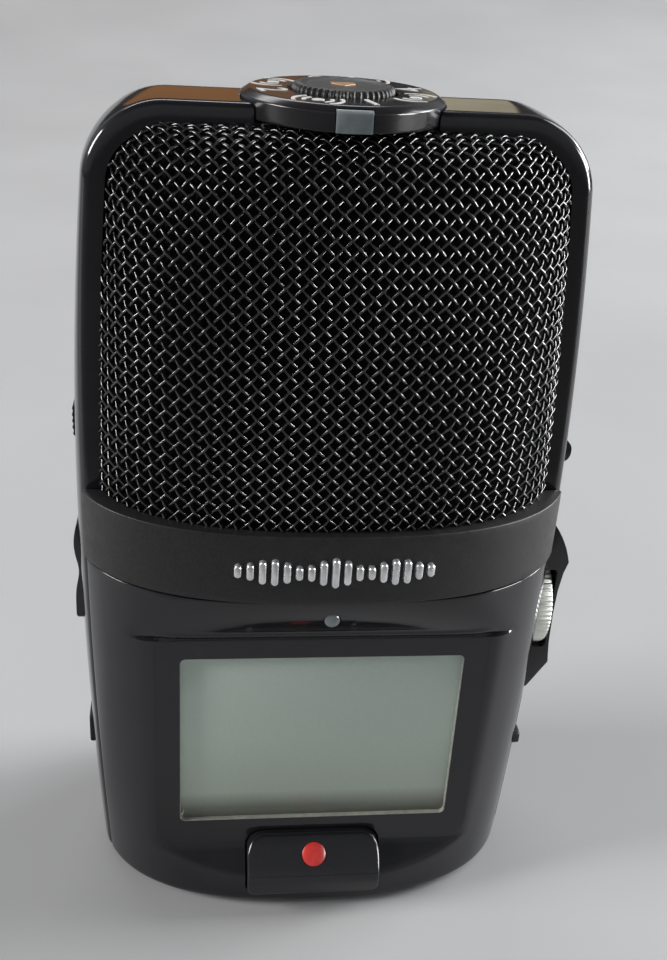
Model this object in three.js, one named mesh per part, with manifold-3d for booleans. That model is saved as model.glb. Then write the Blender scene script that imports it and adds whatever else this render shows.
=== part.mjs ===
// A pocket field recorder: a glossy U-shaped arch runs up both sides and over the top, a front and a
// rear shell close the lower half, and two woven wire domes close the upper half round the microphones.
// Millimetres, +Z up, the display faces -Y, and +X is at the right hand of someone reading the display.
import * as THREE from 'three';
import { mergeVertices } from 'three/addons/utils/BufferGeometryUtils.js';
import Module from 'manifold-3d';

const wasm = await Module();
wasm.setup();

// ---------- driving dimensions ----------
const GAP = 0.3;               // clearance between neighbouring pieces
const WELD = 1e-4;
const CENTRE_SHIFT_X = -0.85;  // moves the middle of the overall width, guard lugs included, to x = 0
const CENTRE_SHIFT_Y = 0.4;    // moves the middle of the overall depth, button and badge included, to y = 0

const WAIST_Z = 59;            // height of the widest section
const WAIST_HALF_WIDTH = 33.4;
const BOW_ABOVE = 0.00105;     // how fast the sides draw in above and below the waist
const BOW_BELOW = 0.0006;
const HALF_DEPTH = 21.2;
const DEPTH_BOW = 0.00013;
const SQUARENESS = 2.5;        // exponent of the body's rounded cross-section
const SIDES = 48;              // facets round the body
const WALL = 2;

const BASE_TOP = 2.2;
const BASE_INSET = 2.9;        // the base plate sits inside the walls
const SHELL_BOTTOM = 0.4;
const SHELL_TOP = 53.2;
const FOOT_RADIUS = 1.5;       // rounding of the body's lower edge
const BAND_BOTTOM = 53.5;
const BAND_TOP = 63.4;
const BAND_PROUD = 0.3;
const GRILLE_BOTTOM = 63.7;
const GRILLE_TOP = 109.7;
const GRILLE_ROOF = 109.5;     // where the domes' rounding ends in a flat
const GRILLE_HALF_DEPTH = 20.2;
const GRILLE_INSET = 2.2;      // from the arch's outer face to the domes' edges
const GRILLE_SKIN = 0.8;

const ARCH_TOP = 112;
const ARCH_WALL = 2.6;
const ARCH_ROOF = 3.1;
const ARCH_CORNER = 9;
const ARCH_HALF_DEPTH = 8.5;   // below the shoulder
const ARCH_SHOULDER_Z = 66;
const ARCH_TOP_HALF_DEPTH = 6.2;
const SIDE_CUT = { near: 26, far: 40 };    // reach of the openings cut through the arch's walls
const LUG_HALF_DEPTH = 5.2;
const UPPER_LUG = [[31, 56.5], [33.2, 56.5], [34.7, 54.7], [35.8, 52.3], [36.4, 49.9], [36.1, 48.5],
  [31, 48.5]];
const LOWER_LUG = [[31, 35], [35.5, 35], [35.8, 32.2], [33.2, 27.7], [31, 27.7]];
const WHEEL_RAIL = [[34.95, 35.3], [35.5, 35.3], [35.45, 38], [35.5, 44], [35.9, 48.2], [34.95, 48.2]];

const PANEL_Y = -16.8;         // flat face of the display scoop
const PANEL_BOTTOM = 8.9;
const PANEL_TOP = 45.2;
const PANEL_HALF_WIDTH = 23;
const LENS_THICK = 1.2;
const CHIN_FOOT = { y: -21, z: 4.9 };      // where the chin's slope meets the outside

const RECORD = { halfWidth: 9.7, bottom: 2.9, top: 11.3, back: -15.3, headY: -17.7,
  creaseY: -21.9, creaseZ: 6.4, footY: -21.3 };
const DOT = { radius: 1.7, y: -19.6, z: 9, tilt: 40, proud: 0.2, sunk: 0.6 };
const LAMP = { x: 0.3, z: 49.8, radius: 1, front: -19.7 };

const PLATE = { radius: 12.4, bottom: 110.2, rim: 112.45, shoulder: 11.4, top: 113.1 };
const KNOB = { radius: 6.3, bottom: 112.2, top: 113.85, teeth: 36 };
const SHAFT_RADIUS = 2;
const LAMP_WINDOW_HALF = 2.1;
const LAMP_WINDOW_DEPTH = 1.1;

const GAIN = { z: 41.2, radius: 7.3, inner: 31.3, outer: 33.8, teeth: 30 };
const MENU = { z: 80, radius: 2, outer: 33.6, inner: 30.4 };
const PLAY = { z: 66.6, slot: 2.6, halfHeight: 1.75, halfDepth: 3.2, outer: 34.7, inner: 30.6 };
const CARD = { y: -5.95, z: 16, height: 24, length: 32, thick: 2.1, outer: 28.6 };
const CARD_COVER = { low: -8.1, high: -3.8, bottom: 3.7, top: 28.3 };
const LINE_IN = { y: 4.2, z: 22.5, radius: 3, bore: 1.75 };

const POWER = { z: 70, slot: 5.4, halfHeight: 3, halfDepth: 1.9, outer: -33.65, inner: -31 };
const ROCKER = { z: 47.2, bottom: 39, top: 55.4, halfDepth: 2.6, proudX: -34.2, backX: -31.6 };
const PHONES = { y: 0, z: 33.5, radius: 3.1, bore: 1.75 };
const REMOTE = { y: 0, z: 26.6, radius: 2.6, bore: 1.25 };
const PORT = { halfDepth: 4.6, bottom: 7.5, top: 22.7, socketZ: 12.6 };

const COVER = { halfWidth: 23.7, bottom: 5.3, top: 50.2 };
const LATCH = { halfWidth: 5, bottom: 44.2, top: 47.6, travel: 1.5 };
const CELL = { x: 7.7, y: 10.9, radius: 7.25, bottom: 4.6, length: 50.5, nub: 1, nubRadius: 2.7 };

const CAPSULE = { radius: 4, length: 6, z: 92 };
const TRIPOD = { bore: 3.17, radius: 4, bottom: 0.3, top: 6.8 };
const SCREW = { x: 20, y: 6, head: 2, shank: 1, bottom: 0.3, step: 1.1, top: 7 };

const COLOURS = {
  gloss: [0x0b0b0d, 0.12, 0],
  satin: [0x1b1b1c, 0.55, 0],
  mesh: [0x1d1d1f, 0.38, 0.9],
  foam: [0x060606, 0.95, 0],
  lens: [0x0c0d0f, 0.05, 0],
  lcd: [0x808c82, 0.3, 0],
  smoke: [0x7d868b, 0.25, 0],
  red: [0xe03a35, 0.4, 0],
  silver: [0xb9bdb6, 0.3, 0.8],
  ornament: [0xc8cacc, 0.2, 1],
  rubber: [0x161617, 0.8, 0],
  steel: [0x9a9da0, 0.3, 1],
  brass: [0xb08d4a, 0.35, 1],
  board: [0x1f5a38, 0.6, 0],
  cell: [0x35506e, 0.35, 0.4],
  moulded: [0x202022, 0.6, 0],
};

// ---------- closed solids ----------
// Welds a closed three.js geometry into a solid, leaving out the slivers that welding flattens.
function solid(geometry) {
  const bare = geometry.clone();
  bare.deleteAttribute('normal');
  bare.deleteAttribute('uv');
  const welded = mergeVertices(bare, WELD);
  const triangles = [];
  for (let i = 0; i < welded.index.count; i += 3) {
    const corners = [welded.index.getX(i), welded.index.getX(i + 1), welded.index.getX(i + 2)];
    if (new Set(corners).size === 3) triangles.push(...corners);
  }
  return new wasm.Manifold(new wasm.Mesh({
    numProp: 3,
    vertProperties: Float32Array.from(welded.attributes.position.array),
    triVerts: Uint32Array.from(triangles),
  }));
}

function geometryOf(body) {
  const mesh = body.getMesh();
  const geometry = new THREE.BufferGeometry();
  geometry.setAttribute('position', new THREE.BufferAttribute(mesh.vertProperties, 3));
  geometry.setIndex(new THREE.BufferAttribute(mesh.triVerts, 1));
  geometry.computeVertexNormals();
  return geometry;
}

function block(x0, x1, y0, y1, z0, z1) {
  const geometry = new THREE.BoxGeometry(x1 - x0, y1 - y0, z1 - z0);
  geometry.translate((x0 + x1) / 2, (y0 + y1) / 2, (z0 + z1) / 2);
  return solid(geometry);
}

// Round bars along X, Y and Z; the other two coordinates place the axis.
function barX(radius, x0, x1, y, z, sides = 24) {
  const geometry = new THREE.CylinderGeometry(radius, radius, x1 - x0, sides);
  geometry.rotateZ(-Math.PI / 2);
  geometry.translate((x0 + x1) / 2, y, z);
  return solid(geometry);
}

function barY(radius, y0, y1, x, z, sides = 24) {
  const geometry = new THREE.CylinderGeometry(radius, radius, y1 - y0, sides);
  geometry.translate(x, (y0 + y1) / 2, z);
  return solid(geometry);
}

function barZ(radius, z0, z1, x = 0, y = 0, sides = 24) {
  const geometry = new THREE.CylinderGeometry(radius, radius, z1 - z0, sides);
  geometry.rotateX(Math.PI / 2);
  geometry.translate(x, y, (z0 + z1) / 2);
  return solid(geometry);
}

// An outline of [y, z] points carried along X.
function prismX(points, x0, x1) {
  const shape = new THREE.Shape(points.map(([y, z]) => new THREE.Vector2(y, z)));
  const geometry = new THREE.ExtrudeGeometry(shape, { depth: x1 - x0, bevelEnabled: false });
  geometry.rotateY(Math.PI / 2);
  geometry.rotateX(Math.PI / 2);
  geometry.translate(x0, 0, 0);
  return solid(geometry);
}

// An outline of [x, z] points carried along Y.
function prismY(points, y0, y1) {
  const shape = new THREE.Shape(points.map(([x, z]) => new THREE.Vector2(x, z)));
  const geometry = new THREE.ExtrudeGeometry(shape, { depth: y1 - y0, bevelEnabled: false });
  geometry.rotateX(Math.PI / 2);
  geometry.translate(0, y1, 0);
  return solid(geometry);
}

// A turned solid about Z from [radius, z] points that start and end on the axis.
function turned(points, sides = 28) {
  const geometry = new THREE.LatheGeometry(points.map(([r, z]) => new THREE.Vector2(r, z)), sides);
  geometry.rotateX(Math.PI / 2);
  return solid(geometry);
}

// A toothed disc about Z.
function toothedDisc(radius, depth, teeth, z0, z1) {
  const shape = new THREE.Shape();
  for (let i = 0; i < teeth * 2; i += 1) {
    const reach = i % 2 ? radius - depth : radius;
    const angle = Math.PI * i / teeth;
    const point = [reach * Math.cos(angle), reach * Math.sin(angle)];
    if (i === 0) shape.moveTo(...point);
    else shape.lineTo(...point);
  }
  shape.closePath();
  const geometry = new THREE.ExtrudeGeometry(shape, { depth: z1 - z0, bevelEnabled: false });
  geometry.translate(0, 0, z0);
  return solid(geometry);
}

// ---------- the body's form ----------
function halfWidth(z) {
  const bow = z > WAIST_Z ? BOW_ABOVE : BOW_BELOW;
  return WAIST_HALF_WIDTH - bow * (z - WAIST_Z) ** 2;
}

function halfDepth(z) {
  return HALF_DEPTH - DEPTH_BOW * (z - WAIST_Z) ** 2;
}

// Half-width with the upper corners of the given radius rounded off below the given top.
function archHalfWidth(z, top, corner, inset) {
  const start = top - corner;
  const rounding = z > start ? corner - Math.sqrt(Math.max(0, corner ** 2 - (z - start) ** 2)) : 0;
  return halfWidth(z) - inset - rounding;
}

// The arch's half-depth at a height.
function archHalfDepth(z) {
  const share = Math.max(0, (z - ARCH_SHOULDER_Z) / (ARCH_TOP + 1 - ARCH_SHOULDER_Z));
  return ARCH_HALF_DEPTH + (ARCH_TOP_HALF_DEPTH - ARCH_HALF_DEPTH) * share;
}

// How much narrower the rounded section is at a distance from its middle plane, as a share of its half-width.
function narrowing(distance, depth) {
  return Math.max(0.02, 1 - (distance / depth) ** SQUARENESS) ** (1 / SQUARENESS);
}

// Depth of the wire domes: nearly upright at the band, then rolling back to the arch's edge.
function grilleHalfDepth(z) {
  const rise = Math.min(1, Math.max(0, (z - GRILLE_BOTTOM) / (GRILLE_TOP - GRILLE_BOTTOM)));
  const edge = archHalfDepth(z);
  return edge + (GRILLE_HALF_DEPTH - edge) * (1 - rise ** 2.8) ** (1 / 2.4);
}

// The section's half-width that brings the dome's edge to the arch's outline, drawn in by the inset.
function grilleHalfWidth(z, inset) {
  const reach = narrowing(ARCH_HALF_DEPTH, HALF_DEPTH);
  const edge = archHalfWidth(z, GRILLE_TOP, ARCH_CORNER - GRILLE_INSET, 0) * reach
    - GRILLE_INSET - inset;
  return edge / narrowing(archHalfDepth(z), Math.max(grilleHalfDepth(z) - inset, archHalfDepth(z) + 0.05));
}

// A solid with the body's rounded cross-section at each of the given heights.
function bodyBlank(heights, widthAt, depthAt) {
  const profile = [new THREE.Vector2(0, heights[0])];
  for (const z of heights) profile.push(new THREE.Vector2(1, z));
  profile.push(new THREE.Vector2(0, heights.at(-1)));
  const geometry = new THREE.LatheGeometry(profile, SIDES);
  geometry.rotateX(Math.PI / 2);
  const place = geometry.attributes.position;
  for (let i = 0; i < place.count; i += 1) {
    const z = place.getZ(i);
    const reach = Math.hypot(place.getX(i), place.getY(i));
    const angle = Math.atan2(place.getY(i), place.getX(i));
    const across = Math.cos(angle);
    const along = Math.sin(angle);
    place.setX(i, reach * widthAt(z) * Math.sign(across) * Math.abs(across) ** (2 / SQUARENESS));
    place.setY(i, reach * depthAt(z) * Math.sign(along) * Math.abs(along) ** (2 / SQUARENESS));
  }
  return solid(geometry);
}

// How far the lower edge's rounding draws the body in at a height.
function footInset(z) {
  const below = Math.min(FOOT_RADIUS, Math.max(0, SHELL_BOTTOM + FOOT_RADIUS - z));
  return FOOT_RADIUS - Math.sqrt(FOOT_RADIUS ** 2 - below ** 2);
}

function bodySkin(z0, z1, steps, outward, thickness) {
  const heights = [];
  const inside = [];
  for (let i = 0; i <= steps; i += 1) heights.push(z0 + (z1 - z0) * i / steps);
  if (z0 === SHELL_BOTTOM) heights.splice(1, 0, z0 + 0.2, z0 + 0.65, z0 + FOOT_RADIUS);
  for (let i = 0; i <= steps; i += 1) inside.push(z0 - 1 + (z1 - z0 + 2) * i / steps);
  const outer = bodyBlank(heights, (z) => halfWidth(z) + outward - footInset(z),
    (z) => halfDepth(z) + outward - footInset(z));
  const inset = outward - thickness;
  const inner = bodyBlank(inside, (z) => halfWidth(z) + inset, (z) => halfDepth(z) + inset);
  return outer.subtract(inner);
}

const FAR = 60;
const TALL = 130;
const SEAM = ARCH_HALF_DEPTH + GAP;
const inFront = (body) => body.intersect(block(-FAR, FAR, -FAR, -SEAM, -1, TALL));
const behind = (body) => body.intersect(block(-FAR, FAR, SEAM, FAR, -1, TALL));

// The arch's side view, grown outwards by the given amount.
function archSideView(grow) {
  const low = ARCH_HALF_DEPTH + grow;
  const high = ARCH_TOP_HALF_DEPTH + grow;
  return [[-low, -1], [low, -1], [low, ARCH_SHOULDER_Z], [high, ARCH_TOP + 1], [-high, ARCH_TOP + 1],
    [-low, ARCH_SHOULDER_Z]];
}

// ---------- structure ----------
function sideArch() {
  const foot = [0, 0.2, 0.65, FOOT_RADIUS].map((lift) => SHELL_BOTTOM + lift);
  const heights = [...foot, 20, 40, WAIST_Z,
    75, 90, 103, 105.8, 108.2, 110, 111.3, ARCH_TOP];
  const roof = ARCH_TOP - ARCH_ROOF;
  const inside = [-1, 20, 40, WAIST_Z, 75, 90, 102, 104.5, 106.6, 108.1, roof];
  const halfWidth = (z) => archHalfWidth(z, ARCH_TOP, ARCH_CORNER, 0) - footInset(z);
  const outer = bodyBlank(heights, halfWidth, () => HALF_DEPTH);
  const inner = bodyBlank(inside, (z) => archHalfWidth(z, roof, ARCH_CORNER - 2, ARCH_WALL), () => HALF_DEPTH);
  const { near, far } = SIDE_CUT;
  const openings = [
    barZ(PLATE.radius + GAP, PLATE.bottom - GAP, ARCH_TOP + 1, 0, 0, 48),
    barZ(SHAFT_RADIUS + 0.4, 100, ARCH_TOP + 1),
    barX(GAIN.radius + 0.4, near, far, 0, GAIN.z, 40),
    barX(MENU.radius + GAP, near, far, 0, MENU.z),
    block(near, far, -PLAY.halfDepth - GAP, PLAY.halfDepth + GAP, PLAY.z - PLAY.slot, PLAY.z + PLAY.slot),
    barX(LINE_IN.radius + GAP, near, far, LINE_IN.y, LINE_IN.z),
    block(near, far, CARD_COVER.low - GAP, CARD_COVER.high + GAP,
      CARD_COVER.bottom - GAP, CARD_COVER.top + GAP),
    block(-far, -near, -POWER.halfDepth - GAP, POWER.halfDepth + GAP,
      POWER.z - POWER.slot, POWER.z + POWER.slot),
    block(-far, -near, -ROCKER.halfDepth - GAP, ROCKER.halfDepth + GAP, ROCKER.bottom - 0.4, ROCKER.top + 0.4),
    barX(PHONES.radius + GAP, -far, -near, PHONES.y, PHONES.z),
    barX(REMOTE.radius + GAP, -far, -near, REMOTE.y, REMOTE.z),
    block(-far, -near, -PORT.halfDepth - GAP, PORT.halfDepth + GAP, PORT.bottom - GAP, PORT.top + GAP),
  ];
  let arch = outer.subtract(inner).intersect(prismX(archSideView(0), -FAR, FAR));
  for (const lug of [UPPER_LUG, LOWER_LUG]) arch = arch.add(prismY(lug, -LUG_HALF_DEPTH, LUG_HALF_DEPTH));
  for (const opening of openings) arch = arch.subtract(opening);
  return arch;
}

function basePlate() {
  const heights = [0, 0.9, BASE_TOP];
  const draft = (z) => (z < 0.5 ? -0.5 : 0);
  const plate = bodyBlank(heights, (z) => halfWidth(0) - BASE_INSET + draft(z),
    (z) => halfDepth(0) - BASE_INSET + draft(z));
  let body = plate.subtract(barZ(TRIPOD.radius + GAP, -1, BASE_TOP + 1));
  for (const side of [-1, 1]) {
    body = body.subtract(barZ(SCREW.head + GAP, -1, SCREW.step + GAP, side * SCREW.x, SCREW.y))
      .subtract(barZ(SCREW.shank + GAP, 1, BASE_TOP + 1, side * SCREW.x, SCREW.y));
  }
  return body;
}

function frontShell() {
  const skin = inFront(bodySkin(SHELL_BOTTOM, SHELL_TOP, 6, 0, WALL));
  const outline = inFront(bodySkin(SHELL_BOTTOM, SHELL_TOP, 6, 0, WALL + 8));
  const scoop = [[-FAR, PANEL_BOTTOM], [PANEL_Y, PANEL_BOTTOM], [CHIN_FOOT.y, CHIN_FOOT.z],
    [-FAR, CHIN_FOOT.z]];
  const chin = [[PANEL_Y, PANEL_BOTTOM - GAP], [CHIN_FOOT.y, CHIN_FOOT.z], [-20.6, 2.4], [-17.6, 2.4],
    [-15, PANEL_BOTTOM - GAP]];
  const brow = [[-FAR, PANEL_TOP], [PANEL_Y, PANEL_TOP], [-HALF_DEPTH, SHELL_TOP], [-FAR, SHELL_TOP]];
  const browBack = [[PANEL_Y, PANEL_TOP], [PANEL_Y + WALL, PANEL_TOP], [-HALF_DEPTH + WALL + 1, SHELL_TOP],
    [-HALF_DEPTH, SHELL_TOP]];
  const buttonHole = block(-RECORD.halfWidth - GAP, RECORD.halfWidth + GAP, -FAR, -12,
    RECORD.bottom - GAP, RECORD.top + GAP);
  return skin
    .subtract(block(-FAR, FAR, -FAR, PANEL_Y, PANEL_BOTTOM - 0.1, PANEL_TOP))
    .subtract(block(-PANEL_HALF_WIDTH, PANEL_HALF_WIDTH, -FAR, -12, PANEL_BOTTOM - 0.1, PANEL_TOP))
    .subtract(prismX(scoop, -FAR, FAR))
    .subtract(prismX(brow, -FAR, FAR))
    .add(prismX(browBack, -PANEL_HALF_WIDTH - 1, PANEL_HALF_WIDTH + 1).intersect(outline))
    .add(prismX(chin, -PANEL_HALF_WIDTH - 1, PANEL_HALF_WIDTH + 1).intersect(outline))
    .subtract(buttonHole)
    .subtract(barY(LAMP.radius + GAP, -FAR, -12, LAMP.x, LAMP.z, 16));
}

function rearShell() {
  const opening = block(-COVER.halfWidth - GAP, COVER.halfWidth + GAP, 0, FAR,
    COVER.bottom - GAP, COVER.top + GAP);
  return behind(bodySkin(SHELL_BOTTOM, SHELL_TOP, 6, 0, WALL)).subtract(opening);
}

function band(side) {
  return side(bodySkin(BAND_BOTTOM, BAND_TOP, 1, BAND_PROUD, WALL + BAND_PROUD));
}

function badge() {
  const plate = bodySkin(56.4, 60.6, 1, BAND_PROUD + 0.8, 0.5);
  return plate.intersect(block(-12.8, 12.8, -FAR, 0, 50, 70));
}

// A wire dome or its lining: the dome's skin between two depths below its outer surface.
function domeSkin(outerInset, innerInset, front) {
  const heights = [72, 81, 89, 95, 99.5, 102.9, 105.2, 107, 108.3, 109.1];
  const blank = (inset, bottom) => bodyBlank(
    [bottom, ...heights.filter((z) => z < GRILLE_ROOF - inset - 0.3), GRILLE_ROOF - inset],
    (z) => grilleHalfWidth(z, inset),
    (z) => Math.max(grilleHalfDepth(z) - inset, archHalfDepth(z) + 0.05),
  );
  const view = prismX(archSideView(GAP), -FAR, FAR);
  const half = front ? block(-FAR, FAR, -FAR, 0, 0, TALL) : block(-FAR, FAR, 0, FAR, 0, TALL);
  return blank(outerInset, GRILLE_BOTTOM).subtract(blank(innerInset, GRILLE_BOTTOM - 1)).subtract(view)
    .intersect(half);
}

// ---------- front ----------
function displayLens() {
  const side = PANEL_HALF_WIDTH - GAP;
  const top = PANEL_TOP - GAP;
  const corner = 3;
  const outline = [[-side, top], [-side, PANEL_BOTTOM + GAP + corner], [-side + corner, PANEL_BOTTOM + GAP],
    [side - corner, PANEL_BOTTOM + GAP], [side, PANEL_BOTTOM + GAP + corner], [side, top]].reverse();
  const notch = RECORD.halfWidth + GAP;
  return prismY(outline, PANEL_Y, PANEL_Y + LENS_THICK)
    .subtract(block(-notch, notch, -FAR, 0, 0, RECORD.top + GAP));
}

function lcdModule() {
  return block(-20.2, 20.2, PANEL_Y + LENS_THICK + GAP, -12.8, 12.8, 44);
}

function recordButton() {
  const { halfWidth: w, bottom, top, back, headY, creaseY, creaseZ, footY } = RECORD;
  const section = [[headY, top], [creaseY, creaseZ], [footY, bottom], [back, bottom], [back, top]];
  const r = 2.6;
  const face = [[-w, bottom], [w, bottom], [w, top - r], [w - 0.8, top - 0.8], [w - r, top], [-w + r, top],
    [-w + 0.8, top - 0.8], [-w, top - r]];
  return prismX(section, -w, w)
    .intersect(prismY(face, -FAR, 0))
    .subtract(dotBar(DOT.radius + GAP, DOT.sunk + GAP, 2));
}

// A short bar square to the button's sloping face, sunk into it and standing out of it.
function dotBar(radius, sunk, proud) {
  return barY(radius, -proud, sunk, 0, 0).rotate([-DOT.tilt, 0, 0]).translate([0, DOT.y, DOT.z]);
}

const recordDot = () => dotBar(DOT.radius, DOT.sunk, DOT.proud);
const statusLamp = () => barY(LAMP.radius, LAMP.front, LAMP.front + 2.6, LAMP.x, LAMP.z, 16);

// ---------- top ----------
function lampNotch(side, clearance) {
  const w = LAMP_WINDOW_HALF + clearance;
  const near = PLATE.radius - LAMP_WINDOW_DEPTH - clearance;
  return side < 0 ? block(-w, w, -FAR, -near, 100, 120) : block(-w, w, near, FAR, 100, 120);
}

function plateBlank() {
  return turned([[0, PLATE.bottom], [PLATE.radius, PLATE.bottom], [PLATE.radius, PLATE.rim],
    [PLATE.shoulder, PLATE.top], [0, PLATE.top]], 56);
}

function modePlate() {
  return plateBlank()
    .subtract(barZ(KNOB.radius + 0.4, KNOB.bottom - GAP, PLATE.top + 1, 0, 0, 40))
    .subtract(barZ(SHAFT_RADIUS + 0.4, 100, 120))
    .subtract(lampNotch(-1, GAP))
    .subtract(lampNotch(1, GAP));
}

const lampWindow = (side) => plateBlank().intersect(lampNotch(side, 0));

const modeKnob = () => toothedDisc(KNOB.radius, 0.3, KNOB.teeth, KNOB.bottom, KNOB.top);
const modeShaft = () => barZ(SHAFT_RADIUS, 107.3, KNOB.bottom - GAP);
const modeSwitch = () => block(-6, 6, -6, 6, 103, 107);

// ---------- right side ----------
function aboutX(body) {
  return body.rotate([0, 90, 0]);
}

function gainWheel() {
  return aboutX(toothedDisc(GAIN.radius, 0.3, GAIN.teeth, GAIN.inner, GAIN.outer))
    .translate([0, 0, GAIN.z])
    .add(barX(1.5, 28.3, GAIN.inner + 1, 0, GAIN.z, 16));
}

const gainCap = () => barX(GAIN.radius - 0.1, GAIN.outer + GAP, GAIN.outer + 0.9, 0, GAIN.z, 40);
const wheelRail = () => prismY(WHEEL_RAIL, -4, 4);
const gainPot = () => block(21, 28, -5, 5, GAIN.z - 5, GAIN.z + 5);
const menuButton = () => barX(MENU.radius, MENU.inner, MENU.outer, 0, MENU.z);

function playLever() {
  const { inner, outer, z, halfHeight, halfDepth: deep } = PLAY;
  const outline = [[inner, z - halfHeight], [outer - 0.5, z - halfHeight], [outer, z - halfHeight + 0.5],
    [outer, z + halfHeight - 0.5], [outer - 0.5, z + halfHeight], [inner, z + halfHeight]];
  return prismY(outline, -deep, deep);
}

// A round socket along X with a blind bore from its outer end.
function jack({ y, z, radius, bore }, innerX, outerX) {
  const [from, to] = innerX < outerX ? [innerX, outerX] : [outerX, innerX];
  const drill = innerX < outerX ? [innerX + 1, outerX + 1] : [outerX - 1, innerX - 1];
  return barX(radius, from, to, y, z).subtract(barX(bore, ...drill, y, z, 16));
}

// A flap that fills its opening in the arch wall, with a finger tab, on the +X or -X side.
function sideFlap(side, y0, y1, z0, z1, tab) {
  const skin = bodyBlank([z0, (z0 + z1) / 2, z1], halfWidth, () => HALF_DEPTH)
    .subtract(bodyBlank([z0 - 1, z1 + 1], (z) => halfWidth(z) - WALL, () => HALF_DEPTH));
  const window = side > 0 ? block(25, 45, y0, y1, z0, z1) : block(-45, -25, y0, y1, z0, z1);
  const ends = [side * (halfWidth(tab.z) - 1.3), side * (halfWidth(tab.z) + tab.proud)].sort((a, b) => a - b);
  return skin.intersect(window).add(block(...ends, tab.y0, tab.y1, tab.z - tab.half, tab.z + tab.half));
}

function cardCover() {
  const { low, high, bottom, top } = CARD_COVER;
  const tab = { y0: low + 0.6, y1: high - 0.6, z: 19.2, half: 1.1, proud: 0.25 };
  return sideFlap(1, low, high, bottom, top, tab);
}

function memoryCard() {
  const half = CARD.height / 2;
  return block(CARD.outer - CARD.length, CARD.outer, CARD.y - CARD.thick / 2, CARD.y + CARD.thick / 2,
    CARD.z - half, CARD.z + half);
}

function cardSocket() {
  const half = CARD.height / 2 + GAP;
  const thick = CARD.thick / 2 + GAP;
  return block(0, 25.5, CARD.y - 1.7, CARD.y + 1.7, CARD.z - 12.9, CARD.z + 12.9)
    .subtract(block(CARD.outer - CARD.length - GAP, 40, CARD.y - thick, CARD.y + thick,
      CARD.z - half, CARD.z + half));
}

// ---------- left side ----------
function powerSlider() {
  const { z, halfHeight, halfDepth: deep, outer, inner } = POWER;
  return block(outer, inner, -deep, deep, z - halfHeight, z + halfHeight);
}

function volumeRocker() {
  const { proudX, backX, bottom, top, halfDepth: deep } = ROCKER;
  const outline = [[backX, bottom], [backX, top], [proudX + 0.7, top], [proudX, top - 2], [proudX, 49.6],
    [proudX + 0.6, 48.4], [proudX + 0.6, 45], [proudX + 0.1, 43.8], [proudX + 0.1, bottom + 0.6],
    [proudX + 0.5, bottom]];
  return prismY(outline, -deep, deep);
}

function portCover() {
  const { halfDepth: deep, bottom, top } = PORT;
  return sideFlap(-1, -deep, deep, bottom, top, { y0: -3, y1: 3, z: 19.4, half: 2.5, proud: 0.6 });
}

function usbSocket() {
  const { near, far } = SIDE_CUT;
  return block(-29.5, -23, -2, 2, PORT.socketZ - 3.85, PORT.socketZ + 3.85)
    .subtract(block(-far, -near, -1.4, 1.4, PORT.socketZ - 3.2, PORT.socketZ + 3.2));
}

// ---------- rear ----------
function batteryCover() {
  const { halfWidth: w, bottom, top } = COVER;
  const recess = block(-LATCH.halfWidth - GAP, LATCH.halfWidth + GAP, 19.8, FAR,
    LATCH.bottom - LATCH.travel - 0.4, LATCH.top + GAP);
  return behind(bodySkin(SHELL_BOTTOM, SHELL_TOP, 6, 0, WALL))
    .intersect(block(-w, w, 0, FAR, bottom, top))
    .subtract(recess);
}

function batteryLatch() {
  const section = [[20.1, LATCH.bottom], [21.3, LATCH.bottom], [21.3, LATCH.top], [20.1, LATCH.top]];
  return prismX(section, -LATCH.halfWidth, LATCH.halfWidth);
}

function batteryCell(side) {
  const { radius, bottom, length, nub, nubRadius } = CELL;
  const top = bottom + length;
  const upright = [[0, bottom], [radius, bottom], [radius, top - nub], [nubRadius, top - nub], [nubRadius, top],
    [0, top]];
  const flipped = [[0, bottom], [nubRadius, bottom], [nubRadius, bottom + nub], [radius, bottom + nub],
    [radius, top], [0, top]];
  return turned(side < 0 ? upright : flipped).translate([side * CELL.x, CELL.y, 0]);
}

function contactSpring(side) {
  return turned([[0, 2.8], [4, 2.8], [2.2, 4.3], [0, 4.3]], 20).translate([side * CELL.x, CELL.y, 0]);
}

const contactPlate = () => block(-13.5, 13.5, 7, 15, 55.4, 55.9);
const batteryTray = () => block(-16.5, 16.5, 2, 3.2, 7.6, 57.5);

// ---------- inside ----------
function mainBoard() {
  return block(-20, 27, -1.9, -0.3, 8.5, 62.5).subtract(block(20.5, 30, -5, 5, GAIN.z - 5.5, GAIN.z + 5.5));
}

function micMount() {
  return block(-24, 24, -6, 6, 66, 67.6)
    .add(block(-3, 3, -3, 3, 67, 86.5))
    .add(block(-14, 14, -9.5, 9.5, 86, 87.4));
}

// A capsule whose axis is turned about Z from +X by the given angle.
function capsule(x, y, degrees) {
  const half = CAPSULE.length / 2;
  return barX(CAPSULE.radius, -half, half, 0, 0, 20).rotate([0, 0, degrees]).translate([x, y, CAPSULE.z]);
}

const speaker = () => barY(6.5, 8, 11.5, 0, 75, 28);

function tripodInsert() {
  return barZ(TRIPOD.radius, TRIPOD.bottom, TRIPOD.top).subtract(barZ(TRIPOD.bore, -1, TRIPOD.top + 1));
}

function baseScrew(side) {
  const { x, y, head, shank, bottom, step, top } = SCREW;
  return barZ(head, bottom, step, side * x, y, 20).add(barZ(shank, step - 0.1, top, side * x, y, 12));
}

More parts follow.
